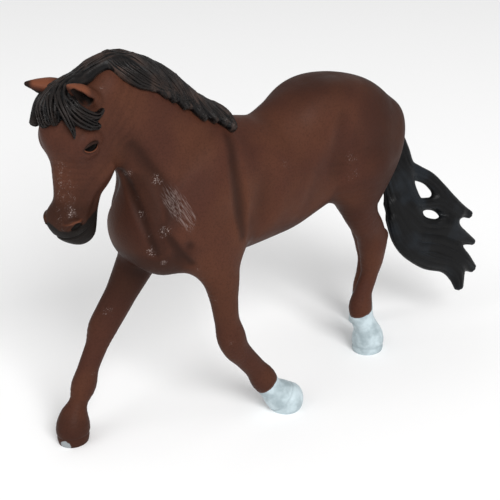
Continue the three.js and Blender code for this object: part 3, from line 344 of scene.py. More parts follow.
# Rubbed pale spots: place in mm, radius, strength
WORN_SPOTS: list[tuple[Place, float, float]] = [
    ((-28.1, -2.9, 74.8), 1.9, 0.8), ((-27.4, -4.2, 69), 1.3, 0.8), ((-27.1, -6, 65.5), 1.5, 0.8),
    ((-26.9, -8, 61), 1.2, 0.7), ((-22.9, -7.1, 73.4), 1.7, 0.9), ((-23.4, -10.2, 61.5), 1.9, 0.8),
    ((-26.3, -8.7, 56.8), 1.7, 0.9), ((-23.6, -9.5, 53.3), 1.2, 0.9), ((-14.4, -11.3, 49.4), 1.0, 0.7),
    ((13, -11.3, 69.5), 2.4, 0.35), ((-34.5, -3.5, 95.5), 1.5, 0.6), ((-28.7, 8.3, 34.3), 1.9, 0.5),
    ((-34.0, 8.9, 17.9), 1.5, 0.45), ((-6.1, -13.0, 26.7), 1.4, 0.5), ((-9.8, -11.0, 39.3), 1.2, 0.5),
    ((36.0, -12.0, 66), 2.6, 0.4), ((36.0, -12.4, 61), 2.6, 0.4), ((-44.8, -5.5, 71.0), 1.5, 1.0),
]
# The scratched patch on the near shoulder: middle and half sizes in mm
SCRATCHED_AT: Place = (-19.2, -11.0, 66.4)
SCRATCHED_SIZE: Place = (4.4, 9.0, 8.4)
# The worn toe of the brown foot, in mm
WORN_TOE: Place = (-44.6, 8.2, 0.4)
HEAD_FLOOR = 52.0  # mm, no part of the head lies lower


def unit(vector: Array) -> Array:
    """The vector at length one."""
    return vector / norm(vector)


def turned(vector: Array, axis: Array, angle: float) -> Array:
    """The vector turned about an axis by an angle in degrees."""
    return np.array(Matrix.Rotation(math.radians(angle), 3, Vector(axis)) @ Vector(vector))


def curve(rows: Rows, shares: Array) -> Array:
    """Points on a smooth curve through the rows.

    Args:
        rows: the points or sizes that the curve passes, any number of columns.
        shares: places along it, from 0 to 1, the rows evenly spread.

    Returns:
        One row for each share.
    """
    rows = np.asarray(rows, float)
    last = len(rows) - 1
    padded = np.vstack([2 * rows[0] - rows[1], rows, 2 * rows[-1] - rows[-2]])
    place = np.clip(shares, 0, 1) * last
    start = np.minimum(place.astype(int), last - 1)
    t = (place - start)[:, None]
    p0, p1, p2, p3 = (padded[start + i] for i in range(4))
    k0, k1, k2 = (
        np.maximum(np.sqrt(norm(b - a, axis=1, keepdims=True)), 1e-4)
        for a, b in ((p0, p1), (p1, p2), (p2, p3))
    )
    m1 = ((p1 - p0) / k0 - (p2 - p0) / (k0 + k1) + (p2 - p1) / k1) * k1
    m2 = ((p2 - p1) / k1 - (p3 - p1) / (k1 + k2) + (p3 - p2) / k2) * k1
    return (
        (2 * t**3 - 3 * t**2 + 1) * p1
        + (t**3 - 2 * t**2 + t) * m1
        + (3 * t**2 - 2 * t**3) * p2
        + (t**3 - t**2) * m2
    )


class Mass(ABC):
    """One mass of the sculpt: a distance field, negative inside, within a reach of its centre."""

    centre: Array
    reach: float

    @property
    def parts(self) -> Sequence["Mass"]:
        """The simple masses that it is the union of."""
        return [self]

    @abstractmethod
    def distance(self, points: Array) -> Array:
        """Distances of the points from the mass's surface."""


class Ellipsoid(Mass):
    """An egg of three half sizes along three directions."""

    def __init__(self, centre: Array, radii: Sequence[float], axes: Array) -> None:
        """Keeps the egg's middle, its half sizes and its directions, one a row."""
        self.centre = np.asarray(centre, float)
        self.radii = np.asarray(radii, float)
        self.axes = np.asarray(axes, float)
        self.reach = float(self.radii.max())

    def distance(self, points: Array) -> Array:
        """Distances of the points from the egg's surface."""
        local = (points - self.centre) @ self.axes.T / self.radii
        share = norm(local, axis=1)
        slope = norm(local / self.radii, axis=1)
        return np.where(slope > 0, share * (share - 1) / np.maximum(slope, 1e-9), -self.radii.min())


@dataclass
class Station:
    """A cross-section of a limb or lock: place, half depth, half width, and the way its width runs."""

    at: Array
    depth: float
    width: float
    wide: Array = field(default_factory=lambda: np.array([0.0, 1.0, 0.0]))


class Taper(Mass):
    """One flattened length between two stations, grooved along its run where it is hair."""

    def __init__(self, start: Station, end: Station, strands: float = 0.0, groove: float = 0.0,
                 phase: float = 0.0) -> None:
        """Keeps the two ends, the strands across the depth and the depth share of their grooves."""
        self.start, self.end = start, end
        self.strands, self.groove, self.phase = strands, groove, phase
        run = end.at - start.at
        self.length = float(norm(run))
        self.axis = run / self.length
        self.centre = (start.at + end.at) / 2
        self.reach = self.length / 2 + max(start.depth, start.width, end.depth, end.width)

    def distance(self, points: Array) -> Array:
        """Distances of the points from the taper's surface."""
        away = points - self.start.at
        run = away @ self.axis
        share = np.clip(run / self.length, 0, 1)
        depth = self.start.depth + (self.end.depth - self.start.depth) * share
        width = self.start.width + (self.end.width - self.start.width) * share
        tip = np.minimum(depth, width)
        wide = self.start.wide + (self.end.wide - self.start.wide) * share[:, None]
        wide = wide - (wide @ self.axis)[:, None] * self.axis
        wide /= norm(wide, axis=1, keepdims=True)
        sideways = np.cross(self.axis, away - run[:, None] * self.axis)
        u = np.einsum("ij,ij->i", sideways, wide) / depth
        v = np.einsum("ij,ij->i", away, wide) / width
        w = (run - share * self.length) / tip
        radius = np.sqrt(u * u + v * v + w * w)
        slope = np.sqrt((u / depth) ** 2 + (v / width) ** 2 + (w / tip) ** 2)
        value = np.where(slope > 0, radius * (radius - 1) / np.maximum(slope, 1e-9), -tip)
        if self.groove:
            ridge = np.abs(np.sin(math.pi * (self.strands * (u + 1) / 2 + self.phase)))
            value = value + self.groove * width * (1 - ridge) * np.clip(1.4 - np.abs(u), 0, 1)
        return value


class Limb(Mass):
    """A smooth run of tapers through stations, with no bulge where they meet."""

    def __init__(self, stations: Sequence[Station], steps: int = 4, strands: float = 0.0,
                 groove: float = 0.0, phase: float = 0.0) -> None:
        """Rounds the run of stations into short tapers, a number of steps between two stations."""
        count = steps * (len(stations) - 1) + 1
        shares = np.linspace(0, 1, count)
        at = curve([s.at for s in stations], shares)
        size = curve([[s.depth, s.width] for s in stations], shares)
        wide = curve([s.wide for s in stations], shares)
        self.stations = [
            Station(at[i], float(size[i, 0]), float(size[i, 1]), unit(wide[i])) for i in range(count)
        ]
        self.tapers = [
            Taper(a, b, strands, groove, phase) for a, b in zip(self.stations, self.stations[1:])
        ]
        centres = np.array([t.centre for t in self.tapers])
        self.centre = (centres.min(0) + centres.max(0)) / 2
        self.reach = max(float(norm(t.centre - self.centre)) + t.reach for t in self.tapers)

    @property
    def parts(self) -> Sequence[Mass]:
        """The tapers."""
        return self.tapers

    def distance(self, points: Array) -> Array:
        """Distances of the points from the limb's surface."""
        least = np.full(len(points), FAR)
        for taper in self.tapers:
            near = norm(points - taper.centre, axis=1) - taper.reach < least
            if near.any():
                least[near] = np.minimum(least[near], taper.distance(points[near]))
        return least


def melt(a: Array, b: Array, width: float) -> Array:
    """Smooth union of two distances, melting within a width."""
    near = np.maximum(width - np.abs(a - b), 0) / width
    return np.minimum(a, b) - near * near * width / 4


class Sculpt:
    """A list of masses that are joined, or cut away, one after another."""

    def __init__(self) -> None:
        """Starts with no mass."""
        self.steps: list[tuple[Mass, float, bool]] = []

    def add(self, mass: Mass, blend: float) -> None:
        """Joins a mass on, melting within the blend."""
        self.steps.append((mass, blend, False))

    def cut(self, mass: Mass, blend: float) -> None:
        """Cuts a mass away, rounding the edge within the blend."""
        self.steps.append((mass, blend, True))

    def at(self, points: Array) -> Array:
        """Distances of the points from the sculpt's surface.

        The points are sorted into cubes, and a mass is only worked in the cubes that it can reach.
        """
        keys = np.floor(points / CUBE).astype(np.int64) @ np.array([1 << 40, 1 << 20, 1])
        _, first, member = np.unique(keys, return_index=True, return_inverse=True)
        cubes = (np.floor(points[first] / CUBE) + 0.5) * CUBE
        slack = math.sqrt(3) * CUBE
        rough, value = np.full(len(cubes), FAR), np.full(len(points), FAR)
        for mass, blend, cuts in self.steps:
            limit = blend + slack + (-rough if cuts else rough)
            reached = np.flatnonzero(norm(cubes - mass.centre, axis=1) - mass.reach < limit)
            if not len(reached):
                continue
            rows = np.array([part.distance(cubes[reached]) for part in mass.parts])
            least = rows.min(0)
            held = least < limit[reached]
            near = self._members(reached[held], len(cubes))[member]
            d = np.full(len(points), FAR)
            for part, row in zip(mass.parts, rows):
                at = self._members(reached[held & (row < least + slack)], len(cubes))[member]
                if at.any():
                    d[at] = np.minimum(d[at], part.distance(points[at]))
            if cuts:
                value[near] = -melt(-value[near], d[near], blend)
                rough[reached] = -melt(-rough[reached], least, blend)
            else:
                value[near] = melt(value[near], d[near], blend)
                rough[reached] = melt(rough[reached], least, blend)
        return value

    @staticmethod
    def _members(rows: Array, count: int) -> Array:
        """True at the given places of a row of a count."""
        found = np.zeros(count, bool)
        found[rows] = True
        return found

    def bounds(self, margin: float) -> tuple[Array, Array]:
        """Lowest and highest corner of the joined masses' reach, with a margin."""
        centres = np.array([m.centre for m, _, cuts in self.steps if not cuts])
        reach = np.array([[m.reach] for m, _, cuts in self.steps if not cuts])
        return (centres - reach).min(0) - margin, (centres + reach).max(0) + margin


CORNERS = np.array([[1, 1, 1], [1, -1, -1], [-1, 1, -1], [-1, -1, 1]]) / math.sqrt(3)


def probe_at(distance: Field, points: Array, probe: float) -> tuple[Array, Array]:
    """Mean and slope of a field round the points, from four probes on the corners of a tetrahedron."""
    around = (points[:, None] + probe * CORNERS).reshape(-1, 3)
    values = distance(around).reshape(-1, 4)
    return values.mean(1), values @ CORNERS * (3 / (4 * probe))


def settle(distance: Field, points: Array, height: float, probe: float, most: float = FAR,
           rounds: int = 3) -> Array:
    """Moves points along the slope until the field there has the wanted height.

    Args:
        distance: the field.
        points: where they start.
        height: value of the field that they move to.
        probe: reach over which the slope is measured.
        most: a point that would move further than this stays.
        rounds: steps on the way.

    Returns:
        The moved points.
    """
    moved = points.copy()
    for _ in range(rounds):
        value, slope = probe_at(distance, moved, probe)
        steep = np.maximum((slope**2).sum(1), LEAST_STEEP)
        moved += slope * ((height - value) / steep)[:, None]
    far = norm(moved - points, axis=1) > most
    moved[far] = points[far]
    return moved


def place_in_scene(thing: bpy.types.Object) -> None:
    """Shows the object in the scene."""
    bpy.context.scene.collection.objects.link(thing)


def corner_slices(size: Sequence[int]) -> list[tuple[slice, ...]]:
    """The eight blocks of a size that start at the corners of a grid's first cell."""
    starts = ((i, j, k) for i in (0, 1) for j in (0, 1) for k in (0, 1))
    return [tuple(slice(start, start + count) for start, count in zip(corner, size)) for corner in starts]


def repeated(block: Array, times: int) -> Array:
    """The block with each cell repeated along all three of its axes."""
    for axis in range(3):
        block = block.repeat(times, axis)
    return block


@dataclass
class Skin:
    """A closed skin of four-sided facets, in the sculpt's millimetres."""

    points: Array
    quads: Array
    slopes: Array

    @staticmethod
    def over(distance: Field, low: Array, high: Array, facet: float) -> "Skin":
        """Lays a skin over a field inside a box.

        Args:
            distance: the field.
            low: lowest corner of the box.
            high: highest corner of the box.
            facet: size of a facet.

        Returns:
            The skin, its corners settled on the field's zero.
        """
        coarse, margin = 4, 1.15
        wide = coarse * facet
        counts = np.ceil((np.asarray(high) - low) / wide).astype(int)
        axes = [low[i] + wide * np.arange(counts[i] + 1) for i in range(3)]
        grid = np.stack(np.meshgrid(*axes, indexing="ij"), -1)
        rough = distance(grid.reshape(-1, 3)).reshape(grid.shape[:3])
        near = np.abs(rough) < margin * wide
        cells = np.any([near[at] for at in corner_slices(counts)], axis=0)
        fine = tuple(coarse * counts + 1)
        band = np.zeros(fine, bool)
        spread = repeated(cells, coarse)
        for at in corner_slices(spread.shape):
            band[at] |= spread
        values = np.full(fine, FAR)
        values[:-1, :-1, :-1] = repeated(np.sign(rough)[:-1, :-1, :-1], coarse) * FAR
        where = np.argwhere(band)
        values[band] = distance(low + where * facet)
        for axis in range(3):
            rim = np.moveaxis(values, axis, 0)
            rim[0] = np.maximum(rim[0], facet / 2)
            rim[-1] = np.maximum(rim[-1], facet / 2)
        return Skin._netted(distance, values, low, facet)

    @staticmethod
    def _netted(distance: Field, values: Array, low: Array, facet: float) -> "Skin":
        """One corner in each grid cell that the surface crosses, joined round each crossed edge."""
        inside = values < 0
        size = tuple(n - 1 for n in values.shape)
        held = np.zeros(size, np.int8)
        for at in corner_slices(size):
            held += inside[at]
        active = (held > 0) & (held < 8)
        index = np.full(size, -1, np.int64)
        total = int(active.sum())
        index[active] = np.arange(total)
        sums = np.zeros((total, 3))
        tally = np.zeros(total)
        quads = []
        for axis in range(3):
            first = [slice(None)] * 3
            second = [slice(None)] * 3
            first[axis], second[axis] = slice(None, -1), slice(1, None)
            a, b = values[tuple(first)], values[tuple(second)]
            edges = np.argwhere((a < 0) != (b < 0))
            va, vb = a[tuple(edges.T)], b[tuple(edges.T)]
            cross = edges.astype(float)
            cross[:, axis] += va / (va - vb)
            ring = []
            for db, dc in ((-1, -1), (0, -1), (0, 0), (-1, 0)):
                cell = edges.copy()
                cell[:, (axis + 1) % 3] += db
                cell[:, (axis + 2) % 3] += dc
                found = index[tuple(cell.T)]
                ring.append(found)
                tally += np.bincount(found, minlength=total)
                for c in range(3):
                    sums[:, c] += np.bincount(found, weights=cross[:, c], minlength=total)
            ring = np.stack(ring, 1)
            out = va >= 0
            ring[out] = ring[out][:, ::-1]
            quads.append(ring)
        points = low + sums / tally[:, None] * facet
        value, slope = probe_at(distance, points, facet / 6)
        steep = np.maximum((slope**2).sum(1), LEAST_STEEP)
        move = slope * (value / steep)[:, None]
        move[norm(move, axis=1) > facet] = 0
        return Skin(points - move, np.concatenate(quads), slope / np.sqrt(steep)[:, None])

    def largest(self) -> "Skin":
        """The largest body of the skin, without crumbs."""
        label = np.arange(len(self.points))
        while True:
            least = label[self.quads].min(1)
            new = label.copy()
            for c in range(4):
                np.minimum.at(new, self.quads[:, c], least)
            new = new[new]
            if (new == label).all():
                break
            label = new
        best = np.bincount(label).argmax()
        keep = label[self.quads[:, 0]] == best
        used = np.unique(self.quads[keep])
        renumber = np.full(len(self.points), -1)
        renumber[used] = np.arange(len(used))
        return Skin(self.points[used], renumber[self.quads[keep]], self.slopes[used])


class Body(Enum):
    """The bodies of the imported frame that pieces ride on."""

    ROOT = "root"


class Slot(Enum):
    """Material slots of the record."""

    COAT = "coat"
    HAIR = "hair"
    WHITE_FOOT = "white_foot"
    DARK_FOOT = "dark_foot"


Plane = tuple[Array, Array]
CUT_SNAP = 1e-5  # mm, corners as near to a cut as this lie on it
CUT_COSINE = 0.5  # facets that turn further from the sculpt's slope than this belong to a cut
SHARP_DEGREES = 52.0


@dataclass
class Piece:
    """One finished piece: its mesh, what it stands for and how it is dressed."""

    name: str
    slot: Slot
    nodes: tuple[str, ...] = ()

    def from_skin(self, skin: Skin, planes: Sequence[Plane], finish: Material,
                  paint: Callable[[bpy.types.Mesh], None]) -> bpy.types.Object:
        """Makes the piece from a skin, cut by planes and closed again.

        Args:
            skin: the skin in the sculpt's millimetres.
            planes: a point and the direction that is cut off, for each cut.
            finish: the material.
            paint: writes the skin's paint maps on the mesh before it is cut.

        Returns:
            The object, riding in the frame.
        """
        mesh = bpy.data.meshes.new(self.name)
        mesh.vertices.add(len(skin.points))
        mesh.vertices.foreach_set("co", skin.points.ravel().astype(np.float32))
        mesh.loops.add(skin.quads.size)
        mesh.loops.foreach_set("vertex_index", skin.quads.ravel().astype(np.int32))
        mesh.polygons.add(len(skin.quads))
        mesh.polygons.foreach_set("loop_start", np.arange(0, skin.quads.size, 4, dtype=np.int32))
        mesh.update(calc_edges=True)
        paint(mesh)
        lean = mesh.attributes.new("lean", "FLOAT_VECTOR", "POINT")
        lean.data.foreach_set("vector", skin.slopes.ravel().astype(np.float32))
        if planes:
            work = bmesh.new()
            work.from_mesh(mesh)
            for point, normal in planes:
                parts = [*work.verts, *work.edges, *work.faces]
                done = bmesh.ops.bisect_plane(
                    work, geom=parts, plane_co=point, plane_no=normal, clear_outer=True, dist=CUT_SNAP
                )
                rim = [e for e in done["geom_cut"] if isinstance(e, bmesh.types.BMEdge)]
                bmesh.ops.holes_fill(work, edges=rim, sides=0)
            bmesh.ops.recalc_face_normals(work, faces=work.faces)
            work.to_mesh(mesh)
            work.free()
        made = self.from_mesh(mesh, finish)
        self._shade_as_sculpt(mesh)
        return made

    @staticmethod
    def _shade_as_sculpt(mesh: bpy.types.Mesh) -> None:
        """Shading normals from the sculpt's slope, so that two pieces meet without a visible line."""
        corners = np.empty(len(mesh.loops), np.int32)
        mesh.loops.foreach_get("vertex_index", corners)
        slopes = np.empty(3 * len(mesh.vertices), np.float32)
        mesh.attributes["lean"].data.foreach_get("vector", slopes)
        slopes = slopes.reshape(-1, 3)[corners]
        flat = np.empty(3 * len(mesh.polygons), np.float32)
        mesh.polygons.foreach_get("normal", flat)
        counts = np.empty(len(mesh.polygons), np.int32)
        mesh.polygons.foreach_get("loop_total", counts)
        flat = np.repeat(flat.reshape(-1, 3), counts, axis=0)
        slopes /= np.maximum(norm(slopes, axis=1, keepdims=True), 1e-6)
        edge = (slopes * flat).sum(1) < CUT_COSINE
        slopes[edge] = flat[edge]
        mesh.attributes.remove(mesh.attributes["lean"])
        mesh.normals_split_custom_set(slopes.tolist())

    def from_mesh(self, mesh: bpy.types.Mesh, finish: Material) -> bpy.types.Object:
        """Moves a mesh from the sculpt's millimetres to the frame and dresses it.

        Args:
            mesh: the finished mesh.
            finish: the material.

        Returns:
            The object, riding in the frame.
        """
        shift = Matrix.Translation(-Vector(FOOTPRINT_MIDDLE) * MM)
        mesh.transform(shift @ Matrix.Scale(MM, 4))
        mesh.polygons.foreach_set("use_smooth", np.ones(len(mesh.polygons), bool))
        mesh.set_sharp_from_angle(angle=math.radians(SHARP_DEGREES))
        mesh.materials.clear()
        mesh.materials.append(finish)
        piece = bpy.data.objects.new(self.name, mesh)
        place_in_scene(piece)
        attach(piece, Body.ROOT.value)
        if self.nodes:
            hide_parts(*self.nodes)
        log.info("%s: %d faces", self.name, len(mesh.polygons))
        return piece


@dataclass(frozen=True)
class HeadFrame:
    """The head's own directions from the poll: down the face, forward and to the horse's right."""

    poll: Array
    down: Array
    forward: Array
    right: Array

    @staticmethod
    def of(sizes: Sizes) -> "HeadFrame":
        """The frame of a head with the given tilt and turn."""
        tilt, turn = math.radians(sizes.head_tilt), sizes.head_turn
        up = np.array([0.0, 0.0, 1.0])
        down = turned(np.array([-math.sin(tilt), 0, -math.cos(tilt)]), up, turn)
        forward = turned(np.array([-math.cos(tilt), 0, math.sin(tilt)]), up, turn)
        poll = np.array([POLL_SHARES[0] * sizes.neck_reach, 0, POLL_SHARES[1] * sizes.crest_height])
        return HeadFrame(poll, down, forward, unit(np.cross(down, forward)))

    @property
    def axes(self) -> Array:
        """The three directions, one a row."""
        return np.array([self.down, self.forward, self.right])

    def point(self, d: float, f: float, s: float) -> Array:
        """A point so many millimetres down, forward and to the right of the poll."""
        return self.poll + d * self.down + f * self.forward + s * self.right

    def place(self, shares: Sequence[float]) -> Array:
        """A point in shares of the head's length, depth and width."""
        return self.point(
            shares[0] * SIZES.head_length, shares[1] * SIZES.head_depth, shares[2] * SIZES.head_width
        )

    def local(self, points: Array) -> Array:
        """Millimetres down, forward and right of the poll, one row a point."""
        return (points - self.poll) @ self.axes.T


def tilted_axes(tilt: float) -> Array:
    """Directions of an egg whose long axes are turned about the Y axis by an angle in degrees."""
    cos, sin = math.cos(math.radians(tilt)), math.sin(math.radians(tilt))
    return np.array([[cos, 0, sin], [0, 1, 0], [-sin, 0, cos]])


def round_limb(points: Sequence[Array], radii: Sequence[float], steps: int = 4) -> Limb:
    """A limb of round section through the points."""
    return Limb([Station(np.asarray(p, float), r, r) for p, r in zip(points, radii)], steps)


@dataclass
class Flesh:
    """The coat-covered body: trunk, neck, muscles, legs, feet and head, with their small forms."""

    sizes: Sizes = SIZES
    blends: Blends = BLENDS
    sculpt: Sculpt = field(default_factory=Sculpt)
    legs: dict[str, list[Station]] = field(default_factory=dict)
    feet: dict[str, list[Station]] = field(default_factory=dict)

    def __post_init__(self) -> None:
        """Builds the masses in the order in which they melt together."""
        self.head = HeadFrame.of(self.sizes)
        self._trunk()
        for mass in self._paired(MUSCLE_SHARES):
            self.sculpt.add(mass, self.blends.muscle)
        for name in LEG_SHARES:
            self._leg(name)
        for mass in self._paired(HOLLOW_SHARES):
            self.sculpt.cut(mass, self.blends.muscle)
        self._skull()
        plain = Sculpt()
        plain.steps = list(self.sculpt.steps)
        self.plain = plain.at
        self._creases()

    def _trunk(self) -> None:
        """The trunk's masses and the neck."""
        s = self.sizes
        for x, z, rx, ry, rz, tilt in TRUNK_SHARES:
            radii = [rx * s.trunk_length, ry * s.trunk_width, rz * s.trunk_depth]
            centre = np.array([x * s.trunk_length, 0, z * s.crest_height])
            self.sculpt.add(Ellipsoid(centre, radii, tilted_axes(tilt)), self.blends.flesh)
        neck = [
            Station(
                np.array([x * s.neck_reach, 0, z * s.crest_height]), deep * s.neck_depth, wide * s.neck_width
            )
            for x, z, deep, wide in NECK_SHARES
        ]
        self.sculpt.add(Limb(neck), self.blends.flesh)

    def _paired(self, rows: Rows) -> list[Ellipsoid]:
        """Eggs on the left and the right, from rows of shares."""
        s = self.sizes
        return [
            Ellipsoid(
                np.array([x * s.trunk_length, hand * y * s.trunk_width, z * s.crest_height]),
                [rx * s.trunk_length, ry * s.trunk_width, rz * s.trunk_depth],
                tilted_axes(tilt),
            )
            for x, y, z, rx, ry, rz, tilt in rows
            for hand in (-1, 1)
        ]

    def _leg(self, name: str) -> None:
        """One leg with its foot, and the point of the hock on a hind leg."""
        s = self.sizes
        hand = -1 if name.endswith("left") else 1

        def stations(rows: Rows, depth: float, width: float) -> list[Station]:
            """Stations on the leg, from rows of shares."""
            root = LEG_ROOTS[name] * s.trunk_length
            return [
                Station(
                    np.array([root + x * s.crest_height, hand * y * s.stance_width, z * s.crest_height]),
                    deep * depth, wide * width,
                )
                for x, y, z, deep, wide in rows
            ]

        leg = stations(LEG_SHARES[name], s.limb_depth, s.limb_width)
        foot = stations(FOOT_SHARES[name], s.hoof_length, s.hoof_width)
        self.legs[name], self.feet[name] = leg, foot
        self.sculpt.add(Limb([*leg, foot[0]]), self.blends.muscle)
        if name.startswith("hind"):
            hock = leg[HOCK_STATION]
            back, up, size = (share * s.limb_depth for share in HOCK_SHARES)
            tip = Station(hock.at + np.array([back, 0, up]), size, size)
            self.sculpt.add(Taper(hock, tip), self.blends.feature)
        self.sculpt.add(Limb(foot), self.blends.feature)

    def _skull(self) -> None:
        """The head's masses, nose and lower jaw."""
        s = self.sizes
        for d, f, side, rd, rf, rs in HEAD_SHARES:
            for hand in (-1, 1) if side else (0,):
                radii = [rd * s.head_length, rf * s.head_depth, rs * s.head_width]
                mass = Ellipsoid(self.head.place([d, f, hand * side]), radii, self.head.axes)
                self.sculpt.add(mass, self.blends.limb if side else self.blends.muscle)
        right = self.head.right
        for rows in (NOSE_SHARES, JAW_SHARES):
            stations = [
                Station(self.head.place([d, f, 0]), deep * s.head_depth, wide * s.head_width, right)
                for d, f, deep, wide in rows
            ]
            self.sculpt.add(Limb(stations), self.blends.limb)

    def on_skin(self, points: Sequence[Array], height: float = 0.0) -> Array:
        """Points moved onto the plain skin, a given height above it."""
        return settle(self.plain, np.asarray(points, float), height, 0.1, rounds=6)

    def _creases(self) -> None:
        """Folds in the skin, which the plain masses lack, a little thinner at their ends."""
        end, thinning = 0.45, 0.3
        for hand in (-1, 1):
            for path, radius, height in BODY_LINES:
                fade = 1 - np.cos(np.linspace(end, 2 * math.pi - end, len(path)))
                radii = radius * (1 - thinning * (1 - np.minimum(fade, 1)))
                placed = self.on_skin([(x, hand * y, z) for x, y, z in path], height)
                self.sculpt.cut(round_limb(placed, radii), self.blends.feature)
        for foot in self.feet.values():
            self._coronet(foot)

    def _coronet(self, foot: list[Station]) -> None:
        """A shallow groove where the hoof starts."""
        share, clear, height, radius, blend = 0.35, 1.3, 0.18, 0.34, 0.5
        a, b = foot[-2], foot[-1]
        axis = unit(b.at - a.at)
        wide = unit(a.wide - axis * (a.wide @ axis))
        deep = np.cross(wide, axis)
        middle = a.at + share * (b.at - a.at)
        ring = [
            middle + clear * (a.depth * math.cos(t) * deep + a.width * math.sin(t) * wide)
            for t in np.linspace(0, 2 * math.pi, 17)
        ]
        self.sculpt.cut(round_limb(self.on_skin(ring, height), [radius] * len(ring), 2), blend)


@dataclass(frozen=True)
class Cord:
    """A thin round form on the head's skin, raised or cut in.

    Its rows are millimetres down, forward and out from the poll, or rearward and up from the eye.
    """

    rows: tuple[tuple[float, ...], ...]
    radii: tuple[float, ...]
    height: float
    blend: float


BROW = Cord(
    ((-2.6, 0.7), (-1.3, 2.0), (0.3, 2.4), (1.9, 1.9), (3.0, 0.8)), (0.5, 0.85, 0.95, 0.85, 0.5), -0.35, 1.2
)
EYE_BAG = Cord(((-2.2, -1.2), (-0.4, -1.9), (1.6, -1.6)), (0.45, 0.6, 0.45), -0.3, 1.0)
CHEEK_RIDGE = Cord(
    ((28.2, 2.4, 4.1), (25.8, 0.7, 3.6), (22.6, -0.4, 4.3), (20.2, -2.1, 4.9), (18.4, -4.2, 5.4)),
    (0.9, 1.15, 1.2, 1.15, 0.9), -0.85, 1.6,
)
NOSTRIL_RIM = Cord(
    (
        (31.3, 7.0, 2.8), (30.3, 6.8, 3.4), (29.6, 6.0, 3.9), (29.3, 5.0, 4.3), (29.6, 3.9, 4.5),
        (30.4, 3.2, 4.5),
    ),
    (0.22, 0.34, 0.4, 0.4, 0.34, 0.22), 0.1, 0.55,
)
NOSTRIL_HOLE = Cord(((30.4, 3.6, 4.5), (30.7, 4.3, 4.4), (31.3, 5.2, 4.0)), (0.66, 0.78, 0.46), -0.2, 0.25)
LIP_HALF = ((30.3, -1.6, 3.4), (31.9, 0.5, 3.9), (33.3, 3.0, 3.2), (34.0, 5.0, 1.6))
LIP_LINE = Cord(
    (*((d, f, -s) for d, f, s in LIP_HALF), (34.1, 5.8, 0.0), *LIP_HALF[::-1]),
    (0.12, 0.3, 0.34, 0.34, 0.34, 0.34, 0.34, 0.3, 0.12), 0.1, 0.35,
)


class EyeFrame(NamedTuple):
    """Where one eye lies: its centre, and the ways out of the head, rearward and up."""

    centre: Array
    out: Array
    rear: Array
    upper: Array


